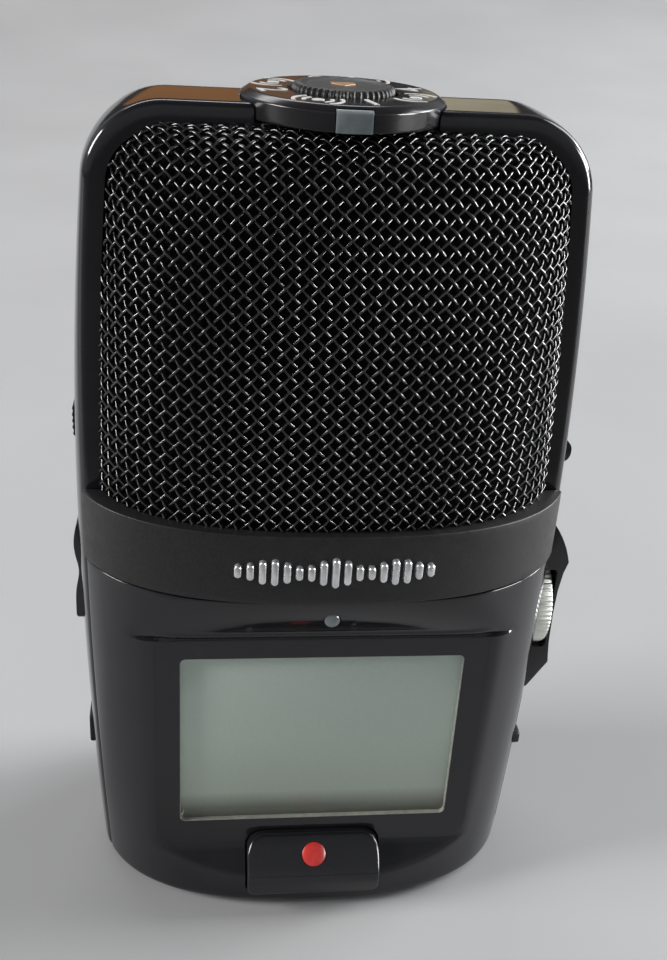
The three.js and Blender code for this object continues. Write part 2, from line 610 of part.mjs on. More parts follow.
// ---------- assembly ----------
const pieces = [
  ['base_plate', basePlate(), 'satin'],
  ['side_arch', sideArch(), 'gloss'],
  ['front_shell', frontShell(), 'gloss'],
  ['rear_shell', rearShell(), 'gloss'],
  ['front_band', band(inFront), 'satin'],
  ['rear_band', band(behind), 'satin'],
  ['front_grille', domeSkin(0, GRILLE_SKIN, true), 'mesh'],
  ['rear_grille', domeSkin(0, GRILLE_SKIN, false), 'mesh'],
  ['front_foam', domeSkin(GRILLE_SKIN + 0.6, GRILLE_SKIN + 1.6, true), 'foam'],
  ['rear_foam', domeSkin(GRILLE_SKIN + 0.6, GRILLE_SKIN + 1.6, false), 'foam'],
  ['badge', badge(), 'ornament'],
  ['display_lens', displayLens(), 'lens'],
  ['lcd_module', lcdModule(), 'lcd'],
  ['record_button', recordButton(), 'gloss'],
  ['record_dot', recordDot(), 'red'],
  ['status_lamp', statusLamp(), 'smoke'],
  ['mode_plate', modePlate(), 'gloss'],
  ['lamp_window_front', lampWindow(-1), 'smoke'],
  ['lamp_window_rear', lampWindow(1), 'smoke'],
  ['mode_knob', modeKnob(), 'satin'],
  ['mode_shaft', modeShaft(), 'moulded'],
  ['mode_switch', modeSwitch(), 'moulded'],
  ['gain_wheel', gainWheel(), 'silver'],
  ['gain_cap', gainCap(), 'gloss'],
  ['wheel_rail', wheelRail(), 'gloss'],
  ['gain_pot', gainPot(), 'moulded'],
  ['menu_button', menuButton(), 'gloss'],
  ['play_lever', playLever(), 'gloss'],
  ['line_in_jack', jack(LINE_IN, 22, 32.1), 'moulded'],
  ['card_cover', cardCover(), 'satin'],
  ['memory_card', memoryCard(), 'moulded'],
  ['card_socket', cardSocket(), 'steel'],
  ['power_slider', powerSlider(), 'satin'],
  ['volume_rocker', volumeRocker(), 'gloss'],
  ['phones_jack', jack(PHONES, -22, -32.7), 'moulded'],
  ['remote_jack', jack(REMOTE, -22, -32.5), 'moulded'],
  ['port_cover', portCover(), 'rubber'],
  ['usb_socket', usbSocket(), 'steel'],
  ['battery_cover', batteryCover(), 'gloss'],
  ['battery_latch', batteryLatch(), 'satin'],
  ['battery_left', batteryCell(-1), 'cell'],
  ['battery_right', batteryCell(1), 'cell'],
  ['battery_tray', batteryTray(), 'moulded'],
  ['contact_spring_left', contactSpring(-1), 'steel'],
  ['contact_spring_right', contactSpring(1), 'steel'],
  ['contact_plate', contactPlate(), 'steel'],
  ['main_board', mainBoard(), 'board'],
  ['mic_mount', micMount(), 'moulded'],
  ['mid_capsule', capsule(0, -9.5, 90), 'steel'],
  ['side_capsule_left', capsule(-9.5, -2.6, 0), 'steel'],
  ['side_capsule_right', capsule(9.5, -2.6, 0), 'steel'],
  ['rear_capsule_left', capsule(-5.6, 8.6, 120), 'steel'],
  ['rear_capsule_right', capsule(5.6, 8.6, 60), 'steel'],
  ['speaker', speaker(), 'moulded'],
  ['tripod_insert', tripodInsert(), 'brass'],
  ['base_screw_left', baseScrew(-1), 'steel'],
  ['base_screw_right', baseScrew(1), 'steel'],
];

const group = new THREE.Group();
group.position.set(CENTRE_SHIFT_X, CENTRE_SHIFT_Y, 0);
for (const [name, body, finish] of pieces) {
  const [color, roughness, metalness] = COLOURS[finish];
  const material = new THREE.MeshStandardMaterial({ color, roughness, metalness });
  const mesh = new THREE.Mesh(geometryOf(body), material);
  mesh.name = name;
  group.add(mesh);
}

export default group;
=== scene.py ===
"""The looks of a pocket field recorder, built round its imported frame.

Points are in body millimetres until row() turns them to metres of the shared frame.
"""
import math

import bmesh
import bpy
import numpy as np
from mathutils import Matrix, Vector


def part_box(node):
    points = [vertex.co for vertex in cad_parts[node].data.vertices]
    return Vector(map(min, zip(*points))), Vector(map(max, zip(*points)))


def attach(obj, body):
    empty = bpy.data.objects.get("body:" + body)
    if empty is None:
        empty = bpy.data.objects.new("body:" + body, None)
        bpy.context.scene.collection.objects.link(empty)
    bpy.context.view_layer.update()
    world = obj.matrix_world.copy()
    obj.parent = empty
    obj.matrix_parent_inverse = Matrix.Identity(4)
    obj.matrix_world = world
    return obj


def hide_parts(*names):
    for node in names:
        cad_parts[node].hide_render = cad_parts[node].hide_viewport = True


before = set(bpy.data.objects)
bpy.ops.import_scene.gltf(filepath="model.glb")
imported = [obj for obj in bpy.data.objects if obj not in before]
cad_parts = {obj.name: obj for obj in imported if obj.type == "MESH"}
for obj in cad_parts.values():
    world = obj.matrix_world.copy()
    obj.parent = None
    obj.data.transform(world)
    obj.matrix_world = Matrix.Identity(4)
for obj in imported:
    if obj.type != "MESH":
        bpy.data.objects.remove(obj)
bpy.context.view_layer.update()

# The middle of the mode plate is the body's upright axis; every box is read relative to it, in millimetres.
plate_low, plate_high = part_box("mode_plate")
AXIS = np.array([(plate_low.x + plate_high.x) * 500, (plate_low.y + plate_high.y) * 500, 0.0])


def part(node):
    low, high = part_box(node)
    return np.array(low) * 1000 - AXIS, np.array(high) * 1000 - AXIS


def middle(node):
    low, high = part(node)
    return (low + high) / 2


def row(points):
    return (np.asarray(points, float) + AXIS) / 1000


def linked(name, data):
    """A new object in the scene."""
    piece = bpy.data.objects.new(name, data)
    bpy.context.scene.collection.objects.link(piece)
    return piece


# ---------- camera ----------
PHOTO_HEIGHT, SENSOR_HEIGHT = 960, 36
PITCH, YAW, ROLL = math.radians(26.91), math.radians(7.777), math.radians(3.724)
FOCAL_PX = 1150.2
forward = Vector((math.sin(YAW) * math.cos(PITCH), math.cos(YAW) * math.cos(PITCH), -math.sin(PITCH)))
level = Vector((math.cos(YAW), -math.sin(YAW), 0))
upward = level.cross(forward)
right_axis = level * math.cos(ROLL) + upward * math.sin(ROLL)
up_axis = -level * math.sin(ROLL) + upward * math.cos(ROLL)
camera_data = bpy.data.cameras.new("camera")
camera_data.sensor_fit = "VERTICAL"
camera_data.sensor_height = SENSOR_HEIGHT
camera_data.lens = FOCAL_PX / PHOTO_HEIGHT * SENSOR_HEIGHT
camera_data.shift_x = 3.2 / PHOTO_HEIGHT
camera_data.shift_y = -1.6 / PHOTO_HEIGHT
camera_data.clip_start = 0.01
camera = linked("camera", camera_data)
spot = row([-18.07, -143.23, 134.0])
camera.matrix_world = Matrix((
    (right_axis.x, up_axis.x, -forward.x, spot[0]),
    (right_axis.y, up_axis.y, -forward.y, spot[1]),
    (right_axis.z, up_axis.z, -forward.z, spot[2]),
    (0, 0, 0, 1),
))
bpy.context.scene.camera = camera


# ---------- materials ----------
def nodes_of(name):
    material = bpy.data.materials.new(name)
    material.use_nodes = True
    tree = material.node_tree
    return material, tree, tree.nodes["Principled BSDF"]


def set_inputs(node, values):
    for name, value in values.items():
        node.inputs[name].default_value = value


def new_node(tree, kind, sources=(), values=()):
    """A shader node: sources drive its inputs by name, values are what other inputs are set to."""
    node = tree.nodes.new(kind)
    if kind == "ShaderNodeMix":
        node.data_type = "RGBA"
    set_inputs(node, dict(values))
    for name, source in dict(sources).items():
        tree.links.new(source, node.inputs[name])
    return node


def product(tree, first, second):
    """One colour multiplied by another."""
    mix = new_node(tree, "ShaderNodeMix", {"A": first, "B": second}, {"Factor": 1})
    mix.blend_type = "MULTIPLY"
    return mix.outputs["Result"]


def coordinate(tree, axis, space="Object"):
    """One coordinate of the object's own space, or of the direction seen in the world."""
    where = new_node(tree, "ShaderNodeTexCoord")
    return new_node(tree, "ShaderNodeSeparateXYZ", {"Vector": where.outputs[space]}).outputs[axis]


def relief(tree, shader, height, strength, distance):
    push = new_node(tree, "ShaderNodeBump", {"Height": height}, {"Strength": strength, "Distance": distance})
    tree.links.new(push.outputs["Normal"], shader.inputs["Normal"])


def grain(tree, scale, detail=3.0, stretch=(1, 1, 1), kind="ShaderNodeTexNoise"):
    where = new_node(tree, "ShaderNodeTexCoord")
    shape = new_node(tree, "ShaderNodeMapping", {"Vector": where.outputs["Object"]}, {"Scale": stretch})
    texture = new_node(tree, kind, {"Vector": shape.outputs["Vector"]}, {"Scale": scale})
    if "Detail" in texture.inputs:
        texture.inputs["Detail"].default_value = detail
    return texture


def ramp(tree, source, stops):
    node = tree.nodes.new("ShaderNodeValToRGB")
    while len(node.color_ramp.elements) < len(stops):
        node.color_ramp.elements.new(0.5)
    for element, (place, colour) in zip(node.color_ramp.elements, stops):
        element.position = place
        element.color = (*colour, 1) if len(colour) == 3 else colour
    tree.links.new(source, node.inputs["Fac"])
    return node.outputs["Color"]


def finish(name, low, high, rough=(0.2, 0.3), metal=0.0, scale=600, bump=0.05, bump_scale=2500,
           stretch=(1, 1, 1), coat=0.0, specular=0.5, depth=0.00003):
    """A material whose colour, roughness and relief all vary with fine grain."""
    material, tree, shader = nodes_of(name)
    tint = grain(tree, scale, 4, stretch)
    colour = ramp(tree, tint.outputs["Fac"], [(0.3, low), (0.7, high)])
    tree.links.new(colour, shader.inputs["Base Color"])
    smear = grain(tree, scale * 0.23, 5, stretch)
    spread = new_node(tree, "ShaderNodeMapRange", {"Value": smear.outputs["Fac"]},
                      {"From Min": 0.35, "From Max": 0.65, "To Min": rough[0], "To Max": rough[1]})
    tree.links.new(spread.outputs["Result"], shader.inputs["Roughness"])
    relief(tree, shader, grain(tree, bump_scale, 2, stretch).outputs["Fac"], bump, depth)
    set_inputs(shader, {"Metallic": metal, "Specular IOR Level": specular, "Coat Weight": coat,
                        "Coat Roughness": 0.04})
    return material


GLOSS = finish("gloss_black", (0.0100, 0.0100, 0.0120), (0.0130, 0.0130, 0.0158), (0.07, 0.13), 0, 220, 0.02,
               900, specular=0.45)
PLATE = finish("plate_black", (0.0100, 0.0098, 0.0110), (0.0130, 0.0125, 0.0145), (0.14, 0.2), 0, 220, 0.02,
               900, specular=0.42)
SATIN = finish("satin_black", (0.008, 0.008, 0.0084), (0.017, 0.017, 0.017), (0.38, 0.48), 0, 3200, 0.5, 5200,
               specular=0.38, depth=0.00004)
WIRE = finish("wire_black", (0.005, 0.005, 0.0055), (0.012, 0.012, 0.0125), (0.16, 0.24), 0, 1500, 0.1, 6000,
              specular=0.8)
FOAM = finish("foam_black", (0.0015, 0.0015, 0.0015), (0.006, 0.006, 0.006), (0.85, 1.0), 0, 2600, 1.0, 2600,
              depth=0.0004, specular=0.1)
CHROME = finish("chrome", (0.66, 0.67, 0.68), (0.82, 0.83, 0.84), (0.22, 0.32), 0.75, 900, 0.05, 2500)
LAMP = finish("lamp_grey", (0.16, 0.19, 0.20), (0.22, 0.25, 0.265), (0.16, 0.24), 0, 700, 0.05, 1800,
              coat=0.3)
RED = finish("red_inlay", (0.55, 0.025, 0.02), (0.68, 0.04, 0.03), (0.3, 0.42), 0, 1400, 0.15, 4000)
SILVER = finish("wheel_silver", (0.66, 0.67, 0.62), (0.82, 0.83, 0.78), (0.25, 0.38), 0.55, 2600, 0.25, 9000,
                stretch=(0.08, 1, 1))
RUBBER = finish("rubber_black", (0.006, 0.006, 0.006), (0.016, 0.016, 0.016), (0.6, 0.75), 0, 2600, 0.4, 5200,
                specular=0.35)
STEEL = finish("steel", (0.38, 0.39, 0.40), (0.58, 0.59, 0.60), (0.18, 0.34), 1, 1500, 0.15, 5000,
               stretch=(1, 1, 0.1))
BRASS = finish("brass", (0.50, 0.34, 0.12), (0.66, 0.47, 0.20), (0.2, 0.34), 1, 1500, 0.15, 5000)
MOULDED = finish("moulded_black", (0.008, 0.008, 0.008), (0.02, 0.02, 0.02), (0.45, 0.6), 0, 2400, 0.4, 4200)
PRINT = finish("print_grey", (0.42, 0.42, 0.41), (0.55, 0.55, 0.54), (0.45, 0.6), 0, 3000, 0.1, 6000)


def board_material():
    """Green lacquer over a lattice of copper tracks and dark pads."""
    material, tree, shader = nodes_of("board_green")
    tracks = grain(tree, 260, kind="ShaderNodeTexVoronoi")
    tracks.distance = "MANHATTAN"
    tracks.feature = "F2"
    colour = ramp(tree, tracks.outputs["Distance"], [(0.35, (0.01, 0.07, 0.025)), (0.5, (0.02, 0.13, 0.045)),
                                                     (0.62, (0.03, 0.2, 0.07)), (0.9, (0.22, 0.16, 0.05))])
    tree.links.new(colour, shader.inputs["Base Color"])
    gleam = ramp(tree, tracks.outputs["Distance"], [(0.3, (0.25, 0.25, 0.25)), (0.9, (0.5, 0.5, 0.5))])
    tree.links.new(gleam, shader.inputs["Roughness"])
    relief(tree, shader, tracks.outputs["Distance"], 0.3, 0.00005)
    return material


def upright_blend(name, z_low, z_high, stops, rough, speckle=0.03, coat=0.0):
    """A material whose colour changes with height between two levels of the object, with a fine speckle."""
    material, tree, shader = nodes_of(name)
    level_of = new_node(tree, "ShaderNodeMapRange", {"Value": coordinate(tree, "Z")},
                        {"From Min": z_low, "From Max": z_high})
    colour = ramp(tree, level_of.outputs["Result"], stops)
    noise = grain(tree, 1800, 3).outputs["Fac"]
    speck = ramp(tree, noise, [(0.3, (1 - speckle,) * 3), (0.7, (1 + speckle,) * 3)])
    tree.links.new(product(tree, colour, speck), shader.inputs["Base Color"])
    gleam = ramp(tree, noise, [(0.3, (rough - 0.04,) * 3), (0.7, (rough + 0.04,) * 3)])
    tree.links.new(gleam, shader.inputs["Roughness"])
    set_inputs(shader, {"Coat Weight": coat, "Coat Roughness": 0.03})
    return material


BOARD = board_material()


# ---------- making meshes ----------
def shade(piece, angle=35):
    mesh = piece.data
    mesh.polygons.foreach_set("use_smooth", [True] * len(mesh.polygons))
    mesh.set_sharp_from_angle(angle=math.radians(angle))


def applied(piece):
    """Makes the piece's modifiers part of its mesh."""
    graph = bpy.context.evaluated_depsgraph_get()
    mesh = bpy.data.meshes.new_from_object(piece.evaluated_get(graph))
    piece.modifiers.clear()
    piece.data = mesh


def soften(piece, width, segments=2, angle=35):
    """Rounds the piece's edges by a width in millimetres."""
    bevel = piece.modifiers.new("bevel", "BEVEL")
    bevel.width = width / 1000
    bevel.segments = segments
    bevel.limit_method = "ANGLE"
    bevel.angle_limit = math.radians(angle)
    applied(piece)


def object_from(name, work, outwards=True):
    """A mesh object from a bmesh, its faces turned outwards, as a rule."""
    if outwards:
        bmesh.ops.recalc_face_normals(work, faces=work.faces[:])
    mesh = bpy.data.meshes.new(name)
    work.to_mesh(mesh)
    work.free()
    return linked(name, mesh)


def raw(name, points, faces):
    """A closed mesh object from points in body millimetres, faces turned outwards."""
    work = bmesh.new()
    made = [work.verts.new(p) for p in row(points)]
    for face in faces:
        corners = [made[i] for i in dict.fromkeys(face)]
        if len(corners) > 2:
            work.faces.new(corners)
    return object_from(name, work)


def dress(piece, material, slot, *stands_for, body="housing", angle=35):
    """Finishes a piece: material, shading, the body that it rides on, and the nodes that it stands for."""
    piece.data.materials.clear()
    piece.data.materials.append(material)
    shade(piece, angle)
    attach(piece, body)
    if stands_for:
        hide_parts(*stands_for)
    return piece


def loop_faces(rows, columns, closed_rows=True, closed_columns=False):
    faces = []
    for i in range(rows if closed_rows else rows - 1):
        for j in range(columns if closed_columns else columns - 1):
            a, b = i, (i + 1) % rows
            c, d = j, (j + 1) % columns
            faces.append((a * columns + c, a * columns + d, b * columns + d, b * columns + c))
    return faces


def tube_of(name, rows):
    """A solid from rows of points that go round it once, capped flat at the first and the last column."""
    count, columns = len(rows), len(rows[0])
    faces = loop_faces(count, columns)
    faces.append([i * columns for i in range(count)])
    faces.append([i * columns + columns - 1 for i in range(count)])
    return raw(name, np.concatenate(rows), faces)


def pipe_of(name, rings):
    """A solid from closed rings of points, with a flat cap over the first and the last."""
    count, width = len(rings), len(rings[0])
    faces = loop_faces(count, width, closed_rows=False, closed_columns=True)
    faces += [list(range(width)), list(range((count - 1) * width, count * width))]
    return raw(name, np.concatenate(rings), faces)


def unit(vectors):
    return vectors / np.linalg.norm(vectors, axis=-1, keepdims=True)


def swept(centre, normal, radius, sides):
    """Rings of a round wire along a line of points."""
    spin = np.arange(sides) * 2 * math.pi / sides
    tangent = unit(np.gradient(centre, axis=0))
    across = unit(np.cross(tangent, normal))
    lift = np.cross(across, tangent)
    return centre[:, None] + radius * (across[:, None] * np.cos(spin)[None, :, None]
                                       + lift[:, None] * np.sin(spin)[None, :, None])


# How two coordinates across an axis and one along it make a point.
AXES = {"x": lambda a, b, c: (c, a, b), "y": lambda a, b, c: (a, c, b), "z": lambda a, b, c: (a, b, c)}


def prism(name, outline, low, high, axis):
    """An outline in the other two axes, in their order, carried along an axis."""
    spots = AXES[axis]
    n = len(outline)
    points = [spots(a, b, low) for a, b in outline] + [spots(a, b, high) for a, b in outline]
    faces = [(i, (i + 1) % n, n + (i + 1) % n, n + i) for i in range(n)]
    return raw(name, points, faces + [list(range(n)), list(range(n, 2 * n))])


def rounded(a0, a1, b0, b1, radius, steps=8):
    """A rounded rectangle; radius is one number or four, from the low-low corner anticlockwise."""
    radii = radius if isinstance(radius, (list, tuple)) else [radius] * 4
    corners = [(a0, b0, 180), (a1, b0, 270), (a1, b1, 0), (a0, b1, 90)]
    points = []
    for (a, b, start), r in zip(corners, radii):
        ca = a + r if a == a0 else a - r
        cb = b + r if b == b0 else b - r
        for k in range(steps + 1):
            angle = math.radians(start + 90 * k / steps)
            points.append((ca + r * math.cos(angle), cb + r * math.sin(angle)))
    return points


def span(side, near, far):
    """Two distances on one side, in rising order."""
    return sorted([side * near, side * far])


def face_of(node, along):
    """A node's box seen along an axis: the limits of its other two coordinates."""
    low, high = part(node)
    a, b = {"x": (1, 2), "y": (0, 2), "z": (0, 1)}[along]
    return [low[a], high[a], low[b], high[b]]


def grown(box, by):
    return [box[0] - by, box[1] + by, box[2] - by, box[3] + by]


def circle(radius, a=0.0, b=0.0, steps=64):
    turns = np.arange(steps) * 2 * math.pi / steps
    return [(a + radius * math.cos(t), b + radius * math.sin(t)) for t in turns]


def from_corner(radius, height, offsets):
    """Profile points given by their offsets from a radius and a height."""
    return [(radius + a, height + b) for a, b in offsets]


def lathe(name, profile, axis, centre, steps=96, reach=None):
    """A turned solid. profile is (radius, height) from axis to axis, or a closed loop round a hole.
    reach(angle, r) may reshape its outline."""
    spots = AXES[axis]
    points, rings = [], []
    for r, h in profile:
        if r < 1e-6:
            rings.append([len(points)] * steps)
            points.append(np.add(spots(0, 0, h), centre))
            continue
        rings.append(list(range(len(points), len(points) + steps)))
        for k in range(steps):
            turn = 2 * math.pi * k / steps
            s = reach(turn, r) if reach else r
            points.append(np.add(spots(s * math.cos(turn), s * math.sin(turn), h), centre))
    faces = []
    pairs = list(zip(rings, rings[1:]))
    if profile[0][0] > 1e-6:
        pairs.append((rings[-1], rings[0]))
    for first, second in pairs:
        for k in range(steps):
            faces.append((first[k], first[(k + 1) % steps], second[(k + 1) % steps], second[k]))
    return raw(name, points, faces)


def combine(piece, others, how="DIFFERENCE", solver="MANIFOLD"):
    for other in others:
        change = piece.modifiers.new("change", "BOOLEAN")
        change.operation = how
        change.solver = solver
        change.object = other
    applied(piece)
    for other in others:
        bpy.data.objects.remove(other)
    return piece


def trim(piece, outline, low, high, axis, how="DIFFERENCE"):
    """Cuts a prism out of a piece, or keeps only what lies in it."""
    return combine(piece, [prism("cut", outline, low, high, axis)], how)


# ---------- the body's form ----------
WAIST_Z, WAIST_HALF = 59.0, 33.4
FULL_DEPTH = 21.2
SQUARENESS = 2.5


def bowed(share):
    """The depth of the body's section as a share of its greatest, at a share of its half-width."""
    return np.clip(1 - np.asarray(share) ** SQUARENESS, 0, None) ** (1 / SQUARENESS)


def eased(value):
    """A sine or cosine bent so that a circle becomes the body's squarish section."""
    return np.sign(value) * np.abs(value) ** (2 / SQUARENESS)


def dome_bow(x, reach, deep, edge):
    """The domes' depth across them, from deep in the middle to edge at the arch."""
    fall = 1 - (edge / deep) ** SQUARENESS
    return deep * np.clip(1 - fall * (np.abs(x) / reach) ** SQUARENESS, 0, None) ** (1 / SQUARENESS)


def half_width(z):
    return WAIST_HALF - np.where(np.asarray(z) > WAIST_Z, 0.00105, 0.0006) * (np.asarray(z) - WAIST_Z) ** 2


def half_depth(z):
    return FULL_DEPTH - 0.00013 * (np.asarray(z) - WAIST_Z) ** 2


def arch_half_depth(z):
    return np.interp(z, [66, 113], [8.5, 6.2])


ARCH_TOP, ARCH_CORNER, ARCH_WALL, ARCH_ROOF, ARCH_EDGE = part("side_arch")[1][2], 9.0, 2.6, 3.1, 0.9
DOME_FOOT, DOME_TOP, DOME_DEPTH, DOME_INSET = part("front_grille")[0][2], 109.7, 20.2, 2.2
BASE_Z, FOOT_RADIUS = part("front_shell")[0][2], 1.5


def dome_depth(z):
    """The domes' depth up their middle: nearly upright at the band, then rolling back to the arch's edge."""
    rise = np.clip((np.asarray(z, float) - DOME_FOOT) / (DOME_TOP - DOME_FOOT), 0, 1)
    edge = arch_half_depth(z)
    return edge + (DOME_DEPTH - edge) * (1 - rise ** 2.8) ** (1 / 2.4)


def dome_edge(z):
    """Where the domes meet the arch, as a half-width: the arch's outline drawn in."""
    radius = ARCH_CORNER - DOME_INSET
    up = np.clip(np.asarray(z, float) - (DOME_TOP - radius), 0, radius)
    return half_width(z) * 0.9583 - DOME_INSET - (radius - np.sqrt(radius ** 2 - up ** 2))


def foot_inset(z):
    """How far the rounding of the body's lower edge draws it in."""
    below = np.clip(BASE_Z + FOOT_RADIUS - np.asarray(z, float), 0, FOOT_RADIUS)
    return FOOT_RADIUS - np.sqrt(FOOT_RADIUS ** 2 - below ** 2)


def section(a, b, cut, places):
    """The rounded section where |y| >= cut, from +x to -x, at shares of its length.

    Gives x, y, the outward normals and the length.
    """
    t = np.linspace(0, math.pi, 1601)
    x = a * eased(np.cos(t))
    y = b * eased(np.sin(t).clip(0))
    keep = y > cut
    edge = a * bowed(cut / b)
    x = np.concatenate([[edge], x[keep], [-edge]])
    y = np.concatenate([[cut], y[keep], [cut]])
    run = np.concatenate([[0], np.cumsum(np.hypot(np.diff(x), np.diff(y)))])
    at = places * run[-1]
    px, py = np.interp(at, run, x), np.interp(at, run, y)
    nx, ny = np.gradient(py, at + 1e-9 * np.arange(len(at))), -np.gradient(px, at + 1e-9 * np.arange(len(at)))
    size = np.hypot(nx, ny)
    return px, py, nx / size, ny / size, run[-1]


EDGE = 0.35


def end_roll(distance, radius=EDGE):
    """How far an edge rolled over with a radius has drawn in at a distance from its end."""
    left = np.clip(radius - distance, 0, radius)
    return radius - np.sqrt(radius ** 2 - left ** 2)


def places_for(columns, length):
    """Fractions along a section: even steps, and finer ones at the rolled ends."""
    fine = np.array([0, 0.05, 0.12, 0.22, 0.35]) / length
    even = np.linspace(0.35 / length, 1 - 0.35 / length, columns)[1:-1]
    return np.concatenate([fine, even, 1 - fine[::-1]])


def half_skin(name, stations, side, cut=8.8, columns=120, shape=None):
    """A half-round shell of the body; side -1 is the front.

    stations are (z, inset, rolled) round its section. shape(x, depth, station) may change a row's depth.
    """
    places = places_for(columns, 78)
    rows = []
    for station in stations:
        z, inset, rolled = station[:3]
        foot = float(foot_inset(z)) if rolled else 0.0
        drawn = inset + foot
        px, py, nx, ny, length = section(half_width(z) - drawn, half_depth(z) - drawn, cut, places)
        away = np.minimum(places, 1 - places) * length
        roll = end_roll(away) if rolled else 0 * away
        px, py = px - nx * roll, py - ny * roll
        if shape:
            py = shape(px, py, station)
        rows.append(np.stack([px, side * py, np.full_like(px, z)], 1))
    return tube_of(name, rows)


def rolled_stations(z0, z1, outset, inset, heights, top=EDGE, bottom=EDGE):
    """Stations of a shell wall from z0 to z1 with its outer edges rolled over."""
    angles = np.radians([0, 30, 60, 90])
    low = [(z0 + bottom * (1 - math.cos(a)), -outset + bottom * (1 - math.sin(a)), True)
           for a in angles if bottom]
    high = [(z1 - top * (1 - math.sin(a)), -outset + top * (1 - math.cos(a)), True) for a in angles]
    inner_heights = [z1] + sorted([h for h in heights[::3] if z0 + 1 < h < z1 - 1], reverse=True) + [z0]
    return low + [(h, -outset, True) for h in heights] + high + [(h, inset, False) for h in inner_heights]


# ---------- shells ----------
lens_low, lens_high = part("display_lens")
button_low, button_high = part("record_button")
PANEL, PANEL_TOP, PANEL_FOOT = -lens_low[1], lens_high[2] + 0.3, lens_low[2] - 0.3
CHIN_SLOPE = (21 - PANEL) / (PANEL_FOOT - 4.9)
SHELL_TOP = part("front_shell")[1][2]
BROW_SLOPE = (21.2 - PANEL) / (SHELL_TOP - PANEL_TOP)


def soft_min(a, b, k):
    h = np.clip(k - np.abs(a - b), 0, None) / k
    return np.minimum(a, b) - h * h * k / 4


def scooped(x, depth, station):
    """The front shell's depth with the flat scoop for the display, the brow above it and the sloping chin."""
    z, inset = station[:2]
    back = 0.0 if inset < 0.5 else 1.5
    if z > PANEL_TOP:
        fade = np.clip((23.4 - np.abs(x)) / 2, 0, 1)
        bead = 0 if back else 0.30 * math.exp(-((z - PANEL_TOP - 0.95) / 0.42) ** 2)
        groove = 0 if back else 0.32 * math.exp(-((z - PANEL_TOP - 0.22) / 0.14) ** 2)
        limit = PANEL - back + (z - PANEL_TOP) * BROW_SLOPE + (bead - groove) * fade
        return soft_min(depth, limit, 2.4)
    rise = max(0.0, PANEL_FOOT - z) * CHIN_SLOPE
    limit = PANEL - back + (rise * rise / (rise + 0.12) if rise else 0)
    return soft_min(depth, np.full_like(depth, limit), 0.7 if z > PANEL_FOOT else 0.3)


foot_heights = [BASE_Z + FOOT_RADIUS * (1 - math.cos(a)) for a in np.radians(np.linspace(0, 90, 8))]
lower_heights = [*foot_heights, *np.arange(2.3, 10.6, 0.3), *np.arange(12, PANEL_TOP - 0.5, 2.0),
                 PANEL_TOP - 0.2]
brow_heights = [*np.arange(PANEL_TOP + 0.02, PANEL_TOP + 2.2, 0.09),
                *np.arange(PANEL_TOP + 2.6, SHELL_TOP - 0.4, 0.5)]
front_stations = rolled_stations(BASE_Z, SHELL_TOP, 0, 1.8, [*lower_heights, *brow_heights], 0.15, 0)

front_shell = half_skin("front_shell_skin", front_stations, -1, columns=230, shape=scooped)
FRONT_CUT, LENS_CUT, REAR_CUT = (-30, -12, "y"), (-30, -5, "y"), (5, 30, "y")
lens_corners, seam = [3, 3, 0.6, 0.6], 0.015
lens_outline = rounded(*face_of("display_lens", "y"), lens_corners)
lens_hole = rounded(*grown(face_of("display_lens", "y"), seam), [r + seam for r in lens_corners])
button_hole = rounded(button_low[0] - 0.25, button_high[0] + 0.25,
                      button_low[2] - 0.28, button_high[2] + 0.22, [1.6, 1.6, 2.8, 2.8])
lamp_low, lamp_high = part("status_lamp")
lamp_mid = middle("status_lamp")
lamp_radius = (lamp_high[0] - lamp_low[0]) / 2
lamp_hole = circle(lamp_radius + 0.15, lamp_mid[0], lamp_mid[2], 40)
combine(front_shell, [prism("cut", hole, *FRONT_CUT) for hole in (lens_hole, button_hole, lamp_hole)])
dress(front_shell, GLOSS, "body_gloss", "front_shell")

rear_heights = [*foot_heights, 3.4, *np.arange(5, SHELL_TOP - 0.5, 1.5)]
rear_stations = rolled_stations(BASE_Z, SHELL_TOP, 0, 1.8, rear_heights, 0.15, 0)
latch_low, latch_high = part("battery_latch")
cover_box = face_of("battery_cover", "y")


rear_shell = half_skin("rear_shell_skin", rear_stations, 1, columns=150)
trim(rear_shell, rounded(*grown(cover_box, 0.18), 2.4), *REAR_CUT)
dress(rear_shell, GLOSS, "body_gloss", "rear_shell")

battery_door = half_skin("battery_door_skin", rear_stations, 1, columns=150)
trim(battery_door, rounded(*cover_box, 2.2), *REAR_CUT, "INTERSECT")
recess = rounded(latch_low[0] - 0.35, latch_high[0] + 0.35, latch_low[2] - 1.95, latch_high[2] + 0.35, 0.9)
trim(battery_door, recess, 19.9, 30, "y")
dress(battery_door, GLOSS, "body_gloss", "battery_cover", body="battery_door")

for name, side, node in [("front_band_skin", -1, "front_band"), ("rear_band_skin", 1, "rear_band")]:
    band_z = part(node)[0][2], part(node)[1][2]
    band_heights = list(np.arange(band_z[0] + 1, band_z[1] - 0.8, 1.0))
    band = half_skin(name, rolled_stations(*band_z, 0.3, 2.0, band_heights, 0.12, 0.3), side, columns=110)
    dress(band, SATIN, "band_satin", node)

# ---------- arch ----------
def arch_path():
    """Points (x, z) up the right side, over the roof and down the left, about a millimetre apart."""
    side_z = np.concatenate([foot_heights, np.linspace(2.3, ARCH_TOP - ARCH_CORNER, 100)])
    bend = np.radians(np.linspace(0, 90, 19))[1:]
    bend_z = ARCH_TOP - ARCH_CORNER + ARCH_CORNER * np.sin(bend)
    x = [*(half_width(side_z) - foot_inset(side_z)), *(half_width(bend_z) - ARCH_CORNER * (1 - np.cos(bend)))]
    z = [*side_z, *bend_z]
    roof = np.linspace(x[-1], 0, 22)[1:]
    x, z = [*x, *roof], [*z, *([ARCH_TOP] * len(roof))]
    return np.array([*x, *[-v for v in x[-2::-1]]]), np.array([*z, *z[-2::-1]])


